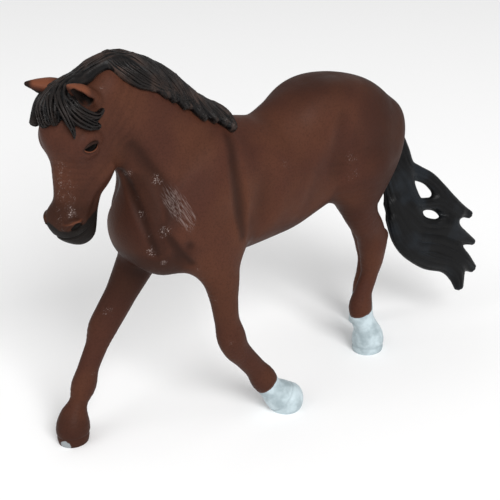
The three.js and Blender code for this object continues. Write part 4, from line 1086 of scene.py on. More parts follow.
@dataclass
class Features:
    """Brows, nostrils, mouth and ears, worked into the flesh of the head, and where the eyes lie."""

    flesh: Flesh
    ball: Place = (2.2, 1.5, 1.05)
    eye_spot: Place = (12.5, 3.9, 6.2)
    eye_slant: tuple[float, float] = (-0.7, -3.1)
    eye_sunk: float = 0.5
    ear_blend: float = 0.9
    ear_steps: int = 6

    def __post_init__(self) -> None:
        """Adds the features to the flesh and keeps the ears apart for painting."""
        self.head = self.flesh.head
        self.eyes: list[EyeFrame] = []
        self.ears: list[Sculpt] = []
        self.ear_runs: list[tuple[Array, Array]] = []
        sculpt = self.flesh.sculpt
        for hand in (-1, 1):
            self._eye(sculpt, hand)
            sculpt.add(self._on_head(NOSTRIL_RIM, hand), NOSTRIL_RIM.blend)
            sculpt.cut(self._on_head(NOSTRIL_HOLE, hand), NOSTRIL_HOLE.blend)
        sculpt.cut(self._on_head(LIP_LINE, 1), LIP_LINE.blend)
        for hand, aim in zip((-1, 1), EAR_AIMS):
            self.ears.append(self._ear(hand, aim))

    def _laid(self, cord: Cord, places: Sequence[Array]) -> Limb:
        """The form of a cord whose rows lie at the places, settled on the skin."""
        return round_limb(self.flesh.on_skin(places, cord.height), cord.radii)

    def _on_head(self, cord: Cord, hand: int) -> Limb:
        """The form of a cord that is placed from the poll, on the left or the right."""
        return self._laid(cord, [self.head.point(d, f, hand * s) for d, f, s in cord.rows])

    def _eye(self, sculpt: Sculpt, hand: int) -> None:
        """Brow, cheek ridge and bag of one eye, and the frame that its ball and lids are placed in."""
        down, forward, side = self.eye_spot
        spot = self.flesh.on_skin([self.head.point(down, forward, hand * side)])[0]
        out = unit(probe_at(self.flesh.plain, spot[None], 0.4)[1][0])
        rear = self.head.down * self.eye_slant[0] + self.head.forward * self.eye_slant[1]
        rear = unit(rear - out * (rear @ out))
        upper = np.cross(out, rear)
        upper = upper if upper @ self.head.down < 0 else -upper
        self.eyes.append(EyeFrame(spot - self.eye_sunk * out, out, rear, upper))

        def by_eye(cord: Cord) -> Limb:
            """The form of a cord that is placed from the eye."""
            return self._laid(cord, [spot + x * rear + y * upper for x, y in cord.rows])

        sculpt.add(by_eye(BROW), BROW.blend)
        sculpt.add(self._on_head(CHEEK_RIDGE, hand), CHEEK_RIDGE.blend)
        sculpt.add(by_eye(EYE_BAG), EYE_BAG.blend)

    def _ear(self, hand: int, aim: Sequence[float]) -> Sculpt:
        """One ear: a pricked leaf with a cup cut into its front."""
        lift, spread, length, breadth = aim
        base = self.head.place([EAR_SHARES[0], EAR_SHARES[1], hand * EAR_SHARES[2]])
        way = turned(self.head.forward, self.head.right, lift)
        way = turned(way, self.head.down, hand * spread)
        right, width = self.head.right, breadth * SIZES.ear_width

        def along(share: float) -> Array:
            """A place along the ear."""
            return base + share * length * SIZES.ear_length * way

        self.ear_runs.append((base, way / (length * SIZES.ear_length)))
        leaf = Sculpt()
        rows = [Station(along(t), d * width, w * width, right) for t, d, w in EAR_LEAF_SHARES]
        leaf.add(Limb(rows, self.ear_steps), BLENDS.feature)
        opening = unit(hand * EAR_OPEN_SHARE * right + self.head.down)
        cup = [
            Station(along(t) + out * width * opening, r * width, r * width, right)
            for t, r, out in EAR_CUP_SHARES
        ]
        leaf.cut(Limb(cup, self.ear_steps), BLENDS.feature / 2)
        return leaf

    def horn(self, points: Array) -> Array:
        """Distances from the flesh with both ears melted on."""
        value = self.flesh.sculpt.at(points)
        for ear in self.ears:
            value = melt(value, ear.at(points), self.ear_blend)
        return value


@dataclass
class Lock:
    """One lock of hair along stations, flat to the skin, grooved into strands."""

    stations: list[Station]
    strands: float
    phase: float
    groove: float

    def mass(self) -> Limb:
        """The lock's mass."""
        return Limb(self.stations, 5, self.strands, self.groove, self.phase)


@dataclass
class Hair:
    """A growth of hair: its locks and its sculpt."""

    locks: list[Lock] = field(default_factory=list)
    sculpt: Sculpt = field(default_factory=Sculpt)

    def grow(self, points: Array, full: Array, breadth: float, thickness: float, wide: Array,
             phase: float, strands: float = 1.15, groove: float = 0.36, blend: float = BLENDS.lock) -> None:
        """Adds a lock.

        Args:
            points: its stations.
            full: share of the breadth at each.
            breadth: its breadth.
            thickness: its thickness.
            wide: the way its thickness runs at each station.
            phase: shift of its strands.
            strands: strands in a millimetre of its breadth.
            groove: depth of the grooves between them, as a share of its half thickness.
            blend: how widely it melts into the locks beside it.
        """
        stations = [
            Station(p, f * breadth / 2, min((1 + f) / 2, 1) * thickness / 2, w)
            for p, f, w in zip(points, full, wide)
        ]
        lock = Lock(stations, round(breadth * strands), phase, groove)
        self.locks.append(lock)
        self.sculpt.add(lock.mass(), blend)


class Groom:
    """Makes mane, forelock and tail as locks that rest on the flesh."""

    def __init__(self, flesh: Flesh, horn: Field) -> None:
        """Keeps the flesh that the hair lies on and the skin that it is kept out of."""
        self.flesh, self.horn = flesh, horn

    def rest(self, points: Array, height: float) -> Array:
        """Points settled a height above the skin."""
        return settle(self.flesh.plain, np.asarray(points, float), height, 0.1, rounds=4)

    def normals(self, points: Array) -> Array:
        """Directions away from the skin."""
        slope = probe_at(self.flesh.plain, points, 0.1)[1]
        return slope / norm(slope, axis=1, keepdims=True)

    def mane(self, count: int = 14) -> Hair:
        """The mane: a mantle over the crest, and locks that run forward, hang back or part at the poll."""
        s = SIZES
        hair = Hair()
        rows = [[x * s.neck_reach, 0, z * s.crest_height] for x, z in CREST_SHARES]
        fine = curve(rows, np.linspace(0, 1, 400))
        run = np.concatenate([[0], np.cumsum(norm(np.diff(fine, axis=0), axis=1))])

        def crest(share: Array) -> Array:
            """Points at even shares of the crest's length."""
            want = np.clip(share, 0, 1) * run[-1]
            return np.stack([np.interp(want, run, fine[:, c]) for c in range(3)], 1)

        self._mantle(hair, crest, 2 * len(rows))
        lean = math.radians(s.mane_lean)
        height = HAIR_REST_SHARE * s.mane_thickness
        shares = np.array([0, 0.35, 0.7, 1])
        first, last = MANE_FRONT_SHARES
        for i, low in enumerate(MANE_FRONT_ROWS):
            points = crest(np.minimum(first + shares * (last - first), 1))
            points[:, 1] = -low * s.mane_drop * math.sin(lean)
            points[:, 2] -= low * s.mane_drop * math.cos(lean)
            points = self.rest(points, height)
            hair.grow(points, np.ones(4), s.mane_lock, s.mane_thickness, self.normals(points), 0.2 + 0.5 * i)
        rng = np.random.default_rng(5)
        for i in range(count):
            swing, drop, part = rng.uniform(*MANE_SWINGS), rng.uniform(*MANE_DROPS), rng.uniform(*MANE_PARTS)
            start = MANE_PART_SHARE * (1 - (i + part) / (count + 1))
            points = crest(np.clip(start - shares * swing * s.mane_swing / run[-1], 0, 1))
            fall = shares**1.5 * s.mane_drop * drop
            points[:, 1] = -fall * math.sin(lean)
            points[:, 2] -= fall * math.cos(lean)
            points = self.rest(points, height)
            full = 1 - MANE_THINNING_SHARE * np.linspace(0, 1, 4) ** 2
            breadth = s.mane_lock * rng.uniform(*MANE_BREADTHS)
            hair.grow(points, full, breadth, s.mane_thickness, self.normals(points), 0.37 * i)
        breadth, thickness = SIDE_SHARES[0] * s.mane_lock, SIDE_SHARES[1] * s.mane_thickness
        for i, row in enumerate(SIDE_LOCKS):
            points = self.rest(np.array(row), SIDE_REST_SHARE * s.mane_thickness)
            hair.grow(points, np.array(SIDE_FULL_SHARES), breadth, thickness, self.normals(points), 0.21 * i)
        return hair

    def _mantle(self, hair: Hair, crest: Field, steps: int) -> None:
        """A cap of hair over the crest, shifted to the left and thinner at its ends."""
        s = SIZES
        lift, shift, half, thin = MANTLE_SHARES
        spine = self.rest(crest(np.linspace(0, 1, steps + 1)), s.mane_thickness * lift)
        ahead = 1 - (1 - MANTLE_FRONT_SHARE) * np.arange(steps + 1) / steps
        spine[:, 1] -= ahead * shift * s.mane_thickness
        ends = np.minimum(np.arange(steps + 1), steps - np.arange(steps + 1)) / 2
        full = np.minimum(1, thin + ends * (1 - thin))
        mantle = [
            Station(p, f * s.mane_thickness / 2, a * f * half * s.mane_thickness)
            for p, f, a in zip(spine, full, ahead)
        ]
        hair.sculpt.add(Limb(mantle, 4, 0, 0), BLENDS.lock)

    def forelock(self) -> Hair:
        """The forelock: locks from the poll over the forehead."""
        s = SIZES
        hair = Hair()
        for i, (rows, (wide, tip)) in enumerate(zip(FORELOCK_SHARES, FORELOCK_FORMS)):
            places = np.array(rows) * s.forelock_length
            points = np.array([self.flesh.head.point(*place) for place in places])
            points = self.rest(points, HAIR_REST_SHARE * s.forelock_thickness)
            full = 1 - (1 - tip) * np.linspace(0, 1, len(points)) ** 2
            breadth = wide * s.forelock_lock
            hair.grow(points, full, breadth, s.forelock_thickness, self.normals(points), 0.29 * i, 1.0, 0.5)
        return hair

    @staticmethod
    def tail() -> Hair:
        """The tail: a fan of locks that streams back and to the left."""
        s = SIZES
        hair = Hair()
        root = np.array([TAIL_ROOT_SHARES[0] * s.trunk_length, 0, TAIL_ROOT_SHARES[1] * s.crest_height])
        flat = unit(np.array([s.tail_swing, s.tail_sweep, 0]))
        for i, rows in enumerate(TAIL_SHARES):
            points = np.array([
                root + np.array([back * s.tail_sweep, -left * s.tail_swing, -fall * s.tail_length])
                for back, left, fall, _ in rows
            ])
            full = np.array([row[3] for row in rows])
            wide = np.tile(flat, (len(rows), 1))
            hair.grow(points, full, s.tail_lock, s.tail_thickness, wide, 0.41 * i, 0.42, 0.12, 2.2)
        return hair

    def clear(self, hair: Hair, sunk: float = 0.35) -> Field:
        """The hair's field, kept from reaching deeper than a little under the skin."""

        def distance(points: Array) -> Array:
            """The hair's field above the skin."""
            value = hair.sculpt.at(points)
            near = value < 1
            value[near] = np.maximum(value[near], -sunk - self.horn(points[near]))
            return value

        return distance


def smooth(value: Array, low: float, high: float) -> Array:
    """0 below low, 1 above high, and a smooth rise between them; low may be the higher one."""
    t = np.clip((value - low) / (high - low), 0, 1)
    return t * t * (3 - 2 * t)


class Along(Enum):
    """Ways along which the painted shade fades: X and Z of the sculpt, and down the head from the poll."""

    X = 0
    Z = 2
    HEAD = 3


@dataclass(frozen=True)
class Ramp:
    """A rise of painted shade along one way, from its least share at one place to full at another, in mm."""

    way: Along
    start: float
    full: float
    least: float = 0.0

    def at(self, places: Array) -> Array:
        """Share of the paint at places, given as rows of X, Y, Z and the distance down the head."""
        return self.least + (1 - self.least) * smooth(places[:, self.way.value], self.start, self.full)


# Painted shade on the coat, darker where less light falls: strength, and the ramps that bound it
SHADE_ZONES: dict[str, tuple[float, tuple[Ramp, ...]]] = {
    "croup": (1.0, (Ramp(Along.Z, 76, 91), Ramp(Along.X, 2, 22))),
    "buttocks": (0.75, (Ramp(Along.X, 30, 52), Ramp(Along.Z, 22, 58))),
    "breast": (0.5, (Ramp(Along.X, -20.5, -25.5), Ramp(Along.Z, 80, 72), Ramp(Along.Z, 42, 48))),
    "between_forelegs": (0.9, (Ramp(Along.X, -14, -20), Ramp(Along.Z, 60, 53), Ramp(Along.Z, 26, 44, 0.2))),
    "belly": (
        0.5, (Ramp(Along.Z, 56, 48), Ramp(Along.X, -5, 5), Ramp(Along.X, 50, 40), Ramp(Along.Z, 34, 46))
    ),
    "legs": (0.27, (Ramp(Along.Z, 52, 38), Ramp(Along.X, -22, -16), Ramp(Along.X, 28, 20))),
    "nose": (0.9, (Ramp(Along.HEAD, 22.5, 27.5), Ramp(Along.X, -33, -36))),
}


@dataclass(frozen=True)
class Dab:
    """A slanted oval of paint on the head: its middle and half sizes, in mm down and across."""

    down: float
    across: float
    slant: float
    half_down: float
    half_across: float

    def away(self, d: Array, a: Array) -> Array:
        """Distance of places from its middle, 1 on its edge."""
        across = a - self.across
        return np.hypot((d - self.down - self.slant * across) / self.half_down, across / self.half_across)


NOSTRIL_DAB = Dab(30.8, 4.3, 0.5, 0.8, 1.3)
NOSTRIL_RIM_DAB = Dab(29.7, 5.2, 0.3, 0.38, 2.1)
BRIDGE_DAB = Dab(23, -1.6, 0, 11, 2.6)


@dataclass
class PaintMap:
    """Shares of each paint over a skin's corners, kept on the mesh as attributes."""

    features: Features
    inner_nostril: float = 2.6
    bridge_wear: float = 0.47

    @staticmethod
    def relief(distance: Field, points: Array, reach: float) -> Array:
        """How far the surface stands out of its surroundings: above 0 on ridges, below 0 in folds."""
        return probe_at(distance, points, reach)[0] / reach

    def muzzle(self, points: Array) -> Array:
        """Grey-black round the lips and chin, and painted shade dark in and round the nostril holes."""
        d, f, s = self.features.head.local(points).T
        across = 0.45 * (np.clip(s, -2, 1.5) + 2) - 0.6 * np.clip(s - 1.5, 0, 2.6)
        lips = smooth(d - 0.38 * f + across, 28.3, 30.4) * (d > 20)
        # Painted shade: the nostril holes are painted dark.
        hole = NOSTRIL_DAB.away(d, f) + 3.0 * (np.abs(s) < self.inner_nostril)
        return np.maximum(lips, 1.2 * smooth(hole, 1.15, 0.7))

    def rim(self, points: Array) -> Array:
        """Reddish edge over the nostrils."""
        d, f, s = self.features.head.local(points).T
        edge = smooth(NOSTRIL_RIM_DAB.away(d, f), 1.2, 0.4)
        return 0.75 * edge * smooth(np.abs(s), 2.0, 2.9) * smooth(d, 31.6, 30.9)

    def ears(self, points: Array) -> tuple[Array, Array]:
        """Shares of the reddish outer rim and of the dark inside and tip of the ears."""
        rim, inside = np.zeros(len(points)), np.zeros(len(points))
        down = self.features.head.down
        for ear, (base, way), far in zip(self.features.ears, self.features.ear_runs, (False, True)):
            on_ear = smooth(ear.at(points), 0.5, 0.15)
            cup = next(mass for mass, _, cuts in ear.steps if cuts)
            run = (points - base) @ way
            low = (points - base - np.outer(run, way) / (way @ way)) @ down
            rim = np.maximum(rim, on_ear * smooth(run, 0.25, 0.6) * smooth(low, 0.5, -0.4))
            dark = smooth(cup.distance(points), 0.35, 0.0)
            if far:
                dark = np.max([dark, smooth(low, 0.5, 1.1), smooth(run, 0.88, 1.0)], axis=0)
            inside = np.maximum(inside, dark * on_ear)
        return rim, inside

    def lids(self, points: Array) -> Array:
        """Dark round the eyes."""
        half_long, half_tall, half_deep = 2.5, 1.6, 4
        away = []
        for eye in self.features.eyes:
            off = points - eye.centre
            flat = np.hypot(off @ eye.rear / half_long, off @ eye.upper / half_tall)
            away.append(flat + np.abs(off @ eye.out) / half_deep)
        return smooth(np.min(away, axis=0), 1.25, 0.85)

    def wear(self, points: Array) -> Array:
        """Places that hands have rubbed: spots all over and the bridge of the nose."""
        spots = [
            share * smooth(norm(points - np.array(at), axis=1) / size, 1.4, 0.2)
            for at, size, share in WORN_SPOTS
        ]
        d, f, s = self.features.head.local(points).T
        bridge = smooth(BRIDGE_DAB.away(d, s), 1.15, 0.3) * smooth(f, 2.0, 4.5) * (d > 6) * (d < 36)
        return np.max([*spots, self.bridge_wear * bridge], axis=0)

    @staticmethod
    def scratches(points: Array) -> Array:
        """Fine scratches on the near shoulder, in a slanted patch."""
        off = points - np.array(SCRATCHED_AT)
        away = norm(off / np.array(SCRATCHED_SIZE), axis=1)
        lean = off[:, 0] * 0.86 + off[:, 2] * 0.5
        return smooth(away, 1.15, 0.3) * smooth(np.abs(lean), 3.4, 0.8)

    @staticmethod
    def _near_line(points: Array, path: Rows) -> Array:
        """Distance from each point to a groove's path, the same on both sides."""
        rows = curve(path, np.linspace(0, 1, 32))
        mirrored = points * np.array([1, 0, 1]) + np.abs(points) * np.array([0, 1, 0])
        nearest = np.full(len(points), FAR)
        for row in rows:
            nearest = np.minimum(nearest, norm(mirrored - row, axis=1))
        return nearest

    def shade(self, points: Array) -> Array:
        """Painted shade on the coat: the zones, the grooves and a band down the breast."""
        down = self.features.head.local(points)[:, 0] * (points[:, 2] > HEAD_FLOOR)
        places = np.column_stack([points, down])
        # Each share is painted shade, darker where less light falls.
        shade_shares = []
        for strength, ramps in SHADE_ZONES.values():
            shade_share = np.full(len(points), strength)
            for ramp in ramps:
                shade_share *= ramp.at(places)
            shade_shares.append(shade_share)
        for (path, _, _), (strength, reach) in zip(BODY_LINES, LINE_SHADES):
            shade_shares.append(strength * smooth(self._near_line(points, path), reach, 0.2 * reach))
        shade_shares.append(BAND_SHADE * smooth(self._near_line(points, BREAST_BAND), 4.2, 1.5))
        return np.max(shade_shares, axis=0)

    def brush(self, points: Array) -> Array:
        """How much the hair is brushed brown: fully on the crest, little over the forehead."""
        d = self.features.head.local(points)[:, 0]
        return 1 - 0.8 * smooth(d, -3.0, 3.0) * smooth(points[:, 0], -24, -30)

    @staticmethod
    def apply(mesh: bpy.types.Mesh, maps: dict[str, Array]) -> None:
        """Writes the maps on a mesh, one value a corner."""
        for name, values in maps.items():
            layer = mesh.attributes.new(name, "FLOAT", "POINT")
            layer.data.foreach_set("value", values.astype(np.float32))


def rgb(code: str) -> tuple[float, float, float, float]:
    """A colour from its six-digit screen code, in linear light."""
    parts = [int(code[i : i + 2], 16) / 255 for i in (0, 2, 4)]
    line = [c / 12.92 if c <= 0.04045 else ((c + 0.055) / 1.055) ** 2.4 for c in parts]
    return (line[0], line[1], line[2], 1.0)


class Shader:
    """Builds one material's nodes."""

    def __init__(self, name: str) -> None:
        """Starts a material with its surface shader and the piece's own coordinates."""
        self.material = bpy.data.materials.new(name)
        self.material.use_nodes = True
        self.tree = self.material.node_tree
        self.surface = self.tree.nodes["Principled BSDF"]
        self.place = self.tree.nodes.new("ShaderNodeTexCoord").outputs["Object"]

    def node(self, kind: str, **settings: object) -> bpy.types.Node:
        """A new node with its settings."""
        made = self.tree.nodes.new(kind)
        for key, value in settings.items():
            setattr(made, key, value)
        return made

    def link(self, source: Socket, target: Socket) -> None:
        """Joins two sockets."""
        self.tree.links.new(source, target)

    def feed(self, socket: Socket, value: object) -> None:
        """Sets a socket to a value, or joins it to another socket."""
        if isinstance(value, Socket):
            self.link(value, socket)
        else:
            socket.default_value = value

    def noise(self, size_mm: float, detail: float = 3.0, rough: float = 0.55, along: Place = (1, 0, 0),
              stretch: float = 1.0) -> Socket:
        """Noise with features of about a size in millimetres, drawn out along a direction."""
        mapping = self.node("ShaderNodeMapping", vector_type="TEXTURE")
        self.link(self.place, mapping.inputs["Vector"])
        turn = Vector((1, 0, 0)).rotation_difference(Vector(along)).to_euler()
        mapping.inputs["Rotation"].default_value = turn
        mapping.inputs["Scale"].default_value = (stretch, 1, 1)
        texture = self.node("ShaderNodeTexNoise")
        self.link(mapping.outputs["Vector"], texture.inputs["Vector"])
        texture.inputs["Scale"].default_value = 1 / (size_mm * MM)
        texture.inputs["Detail"].default_value = detail
        texture.inputs["Roughness"].default_value = rough
        return texture.outputs["Fac"]

    def map(self, name: str) -> Socket:
        """A paint map of the mesh."""
        return self.node("ShaderNodeAttribute", attribute_name=name).outputs["Fac"]

    def span(self, value: Socket, low: float, high: float, to: tuple[float, float] = (0, 1)) -> Socket:
        """The value spread from one range to another, smoothly and clamped."""
        made = self.node("ShaderNodeMapRange", interpolation_type="SMOOTHSTEP", clamp=True)
        self.link(value, made.inputs["Value"])
        for key, number in zip(("From Min", "From Max", "To Min", "To Max"), (low, high, *to)):
            made.inputs[key].default_value = number
        return made.outputs["Result"]

    def math(self, operation: str, a: object, b: object) -> Socket:
        """A sum, product or other result of two values."""
        made = self.node("ShaderNodeMath", operation=operation)
        self.feed(made.inputs[0], a)
        self.feed(made.inputs[1], b)
        return made.outputs[0]

    def times(self, a: object, b: object) -> Socket:
        """The product of two values."""
        return self.math("MULTIPLY", a, b)

    def ragged(self, name: str, size_mm: float, depth: float) -> Socket:
        """A paint map whose edge is broken up by noise."""
        edge = self.map(name)
        wander = self.math("SUBTRACT", self.noise(size_mm), 0.5)
        return self.math("ADD", edge, self.times(wander, depth))

    def uneven(self, size_mm: float, detail: float, middle: float, less: float, more: float) -> Socket:
        """A value that wanders a little under and over its middle."""
        return self.span(self.noise(size_mm, detail), 0.3, 0.7, (middle - less, middle + more))

    def mix(self, share: object, a: object, b: object) -> Socket:
        """Two colours mixed by a share."""
        made = self.node("ShaderNodeMix", data_type="RGBA", blend_type="MIX")
        self.feed(made.inputs["Factor"], share)
        self.feed(made.inputs[6], a)
        self.feed(made.inputs[7], b)
        return made.outputs[2]

    def paint(self, base: Socket, share: object, code: str) -> Socket:
        """The base colour with a paint laid over it by a share."""
        return self.mix(share, base, rgb(code))

    def bump(self, height: Socket, depth_mm: float, before: Socket | None = None) -> Socket:
        """A bump of a depth in millimetres, on top of an earlier one."""
        made = self.node("ShaderNodeBump")
        made.inputs["Strength"].default_value = 1.0
        made.inputs["Distance"].default_value = depth_mm * MM
        self.link(height, made.inputs["Height"])
        if before is not None:
            self.link(before, made.inputs["Normal"])
        return made.outputs["Normal"]

    def finish(self, colour: object, roughness: object, normal: Socket | None, specular: float) -> Material:
        """Joins colour, roughness and bump to the surface."""
        self.feed(self.surface.inputs["Base Color"], colour)
        self.feed(self.surface.inputs["Roughness"], roughness)
        self.surface.inputs["Specular IOR Level"].default_value = specular
        if normal is not None:
            self.link(normal, self.surface.inputs["Normal"])
        return self.material


@dataclass(frozen=True)
class CoatFinish:
    """Matte red-brown paint with a faint stipple, dark muzzle, orange ear rims and rubbed spots, with painted
    shade in the folds and over the shade zones.
    """

    warm: str = "503023"
    middle: str = "462920"
    dark: str = "22140f"
    black: str = "10100f"
    rust: str = "74442f"
    rubbed: str = "a3948f"
    toe: str = "9aa0a3"
    roughness: float = 0.5
    specular: float = 0.06
    cloud_mm: float = 16.0
    stipple_mm: float = 0.5
    speck_mm: float = 0.32
    patch_mm: float = 1.5
    scratch_mm: float = 0.2
    scratch_way: Place = (0.4, -0.32, -0.85)
    grain_mm: float = 0.42
    wave_mm: float = 3.5

    def build(self) -> Material:
        """The coat's material."""
        s = Shader("coat_paint")
        base = s.mix(s.span(s.noise(self.cloud_mm, 2), 0.35, 0.68), rgb(self.middle), rgb(self.warm))
        base = s.paint(base, s.span(s.noise(self.stipple_mm, 2, 0.7), 0.4, 0.75, (0.0, 0.28)), self.dark)
        # Painted shade: darker in the folds of the skin, where the relief map is low.
        base = s.paint(base, s.span(s.map("relief"), 0.08, -0.2, (0.0, 0.7)), self.dark)
        # Painted shade from the shade map's zones, grooves and breast band.
        base = s.paint(base, s.times(s.map("shade"), 0.75), self.dark)
        base = s.paint(base, s.span(s.ragged("muzzle", 1.6, 0.9), 0.3, 0.75, (0.0, 0.9)), self.black)
        layers = (("lids", 0.75, self.black), ("warm_edge", 0.75, self.rust), ("ear_inside", 0.9, self.black))
        for name, share, code in layers:
            base = s.paint(base, s.times(s.map(name), share), code)
        base = s.paint(base, s.math("MAXIMUM", self._rubs(s), self._scratches(s)), self.rubbed)
        base = s.paint(base, s.span(s.ragged("toe", 0.9, 0.7), 0.4, 0.75, (0.0, 0.85)), self.toe)
        grain = s.bump(s.noise(self.grain_mm, 3, 0.65), 0.05)
        grain = s.bump(s.noise(self.wave_mm, 2), 0.1, grain)
        return s.finish(base, s.uneven(7, 3, self.roughness, 0.05, 0.07), grain, self.specular)

    def _rubs(self, s: Shader) -> Socket:
        """Share of the pale specks, which gather in ragged patches."""
        worn = s.math("ADD", s.noise(self.speck_mm, 3, 0.7), s.times(s.map("wear"), 0.1))
        patch = s.times(s.map("wear"), s.span(s.noise(self.patch_mm, 3), 0.4, 0.62, (0.25, 1.25)))
        return s.times(s.span(worn, 0.57, 0.76, (0.0, 0.9)), s.span(patch, 0.08, 0.9))

    def _scratches(self, s: Shader) -> Socket:
        """Share of the pale scratches, which run one way."""
        drawn = s.noise(self.scratch_mm, 2, along=self.scratch_way, stretch=20)
        drawn = s.math("ADD", drawn, s.times(s.map("scratches"), 0.12))
        return s.times(s.span(drawn, 0.5, 0.78, (0.0, 0.28)), s.span(s.map("scratches"), 0.05, 0.6))


@dataclass(frozen=True)
class HairFinish:
    """Black-brown paint: painted shade in the grooves, a painted highlight on the ridges of the strands with
    brown brushing laid on them, and patches of painted sheen.
    """

    name: str
    deep: str = "070708"
    ridge: str = "191615"
    brush_highlight: str = "4a3a33"
    share: float = 0.7
    # Share of the patches of painted sheen.
    sheen: float = 0.0
    roughness: float = 0.34
    specular: float = 0.14
    stroke_mm: float = 6.0
    sheen_mm: float = 9.0
    grain_mm: float = 0.35

    def build(self) -> Material:
        """The hair's material."""
        s = Shader(self.name)
        # Painted shade in the grooves and a painted highlight on the ridges, from the relief map.
        base = s.mix(s.span(s.map("relief"), -0.1, 0.14), rgb(self.deep), rgb(self.ridge))
        # Brown brushing laid only on the ridges, partly a painted highlight.
        patch = s.times(s.span(s.noise(self.stroke_mm, 2), 0.42, 0.7), s.span(s.map("relief"), 0.03, 0.16))
        patch = s.times(patch, s.map("brush"))
        base = s.paint(base, s.times(patch, self.share), self.brush_highlight)
        # Patches of painted sheen.
        base = s.paint(base, s.span(s.noise(self.sheen_mm, 2), 0.48, 0.72, (0.0, self.sheen)), self.brush_highlight)
        bump = s.bump(s.noise(self.grain_mm, 3, 0.6), 0.04)
        return s.finish(base, s.uneven(3, 2, self.roughness, 0.05, 0.08), bump, self.specular)


@dataclass(frozen=True)
class FootFinish:
    """White foot paint, with painted shade in its folds and coat paint ragged over its upper edge."""

    name: str
    paint: str = "bbc9ce"
    shade: str = "94a2a7"
    coat: str = "47261a"
    roughness: float = 0.5
    specular: float = 0.3
    cloud_mm: float = 4.0
    grain_mm: float = 0.6

    def build(self) -> Material:
        """The foot's material."""
        s = Shader(self.name)
        base = s.mix(s.span(s.noise(self.cloud_mm, 3), 0.35, 0.7), rgb(self.paint), rgb(self.shade))
        # Painted shade: darker in the folds of the foot.
        base = s.paint(base, s.span(s.map("relief"), 0.06, -0.14, (0.0, 0.6)), self.shade)
        base = s.paint(base, s.span(s.ragged("over", 1.2, 0.8), 0.42, 0.58), self.coat)
        bump = s.bump(s.noise(self.grain_mm, 3), 0.04)
        return s.finish(base, s.uneven(3, 2, self.roughness, 0.06, 0.06), bump, self.specular)


@dataclass(frozen=True)
class EyeFinish:
    """Glossy near-black paint of the eyes, a little browner in faint patches."""

    pupil: str = "020202"
    iris: str = "0b0706"
    roughness: float = 0.16
    specular: float = 0.02

    def build(self) -> Material:
        """The eyes' material."""
        s = Shader("eye_gloss")
        base = s.mix(s.span(s.noise(1.1, 2), 0.4, 0.6), rgb(self.pupil), rgb(self.iris))
        return s.finish(base, self.roughness, None, self.specular)


class StrandTree:
    """Geometry Nodes that lay a tapered round strand along each path of a mesh of edges."""

    NODES = {
        "start": "NodeGroupInput", "end": "NodeGroupOutput", "path": "GeometryNodeMeshToCurve",
        "ring": "GeometryNodeCurvePrimitiveCircle", "sweep": "GeometryNodeCurveToMesh",
        "full": "GeometryNodeInputNamedAttribute", "real": "GeometryNodeRealizeInstances",
        "paint": "GeometryNodeSetMaterial",
    }
    LINKS = (
        ("start", "Paths", "path", "Mesh"), ("path", "Curve", "sweep", "Curve"),
        ("start", "Sides", "ring", "Resolution"), ("start", "Girth", "ring", "Radius"),
        ("ring", "Curve", "sweep", "Profile Curve"), ("full", "Attribute", "sweep", "Scale"),
        ("sweep", "Mesh", "real", "Geometry"), ("real", "Geometry", "paint", "Geometry"),
        ("start", "Paint", "paint", "Material"), ("paint", "Geometry", "end", "Strands"),
    )

    def __init__(self) -> None:
        """Builds the node tree with its named inputs."""
        self.tree = bpy.data.node_groups.new("hair_strands", "GeometryNodeTree")
        face = self.tree.interface
        face.new_socket("Paths", in_out="INPUT", socket_type="NodeSocketGeometry")
        self.girth = face.new_socket("Girth", in_out="INPUT", socket_type="NodeSocketFloat")
        self.sides = face.new_socket("Sides", in_out="INPUT", socket_type="NodeSocketInt")
        self.paint = face.new_socket("Paint", in_out="INPUT", socket_type="NodeSocketMaterial")
        face.new_socket("Strands", in_out="OUTPUT", socket_type="NodeSocketGeometry")
        nodes = {name: self.tree.nodes.new(kind) for name, kind in self.NODES.items()}
        nodes["full"].inputs["Name"].default_value = "full"
        nodes["sweep"].inputs["Fill Caps"].default_value = True
        for source, output, target, entry in self.LINKS:
            self.tree.links.new(nodes[source].outputs[output], nodes[target].inputs[entry])

    def swept(self, name: str, paths: list[Array], full: list[Array], girth: float, sides: int,
              finish: Material) -> bpy.types.Mesh:
        """Lays the strands and returns them as one plain mesh.

        Args:
            name: name of the mesh.
            paths: points of each strand, in millimetres.
            full: share of the girth at each point.
            girth: largest radius of a strand.
            sides: sides of its section.
            finish: its material.

        Returns:
            The mesh, in millimetres.
        """
        mesh = bpy.data.meshes.new(name + "_paths")
        sizes = [len(p) for p in paths]
        starts = np.cumsum([0, *sizes[:-1]])
        edges = [(int(s + i), int(s + i + 1)) for s, n in zip(starts, sizes) for i in range(n - 1)]
        mesh.from_pydata(np.concatenate(paths).tolist(), edges, [])
        layer = mesh.attributes.new("full", "FLOAT", "POINT")
        layer.data.foreach_set("value", np.concatenate(full).astype(np.float32))
        holder = bpy.data.objects.new(name + "_holder", mesh)
        place_in_scene(holder)
        modifier = holder.modifiers.new("strands", "NODES")
        modifier.node_group = self.tree
        modifier[self.girth.identifier] = girth
        modifier[self.sides.identifier] = sides
        modifier[self.paint.identifier] = finish
        graph = bpy.context.evaluated_depsgraph_get()
        made = bpy.data.meshes.new_from_object(holder.evaluated_get(graph))
        holder.modifiers.remove(modifier)
        bpy.data.objects.remove(holder)
        bpy.data.meshes.remove(mesh)
        made.name = name
        return made


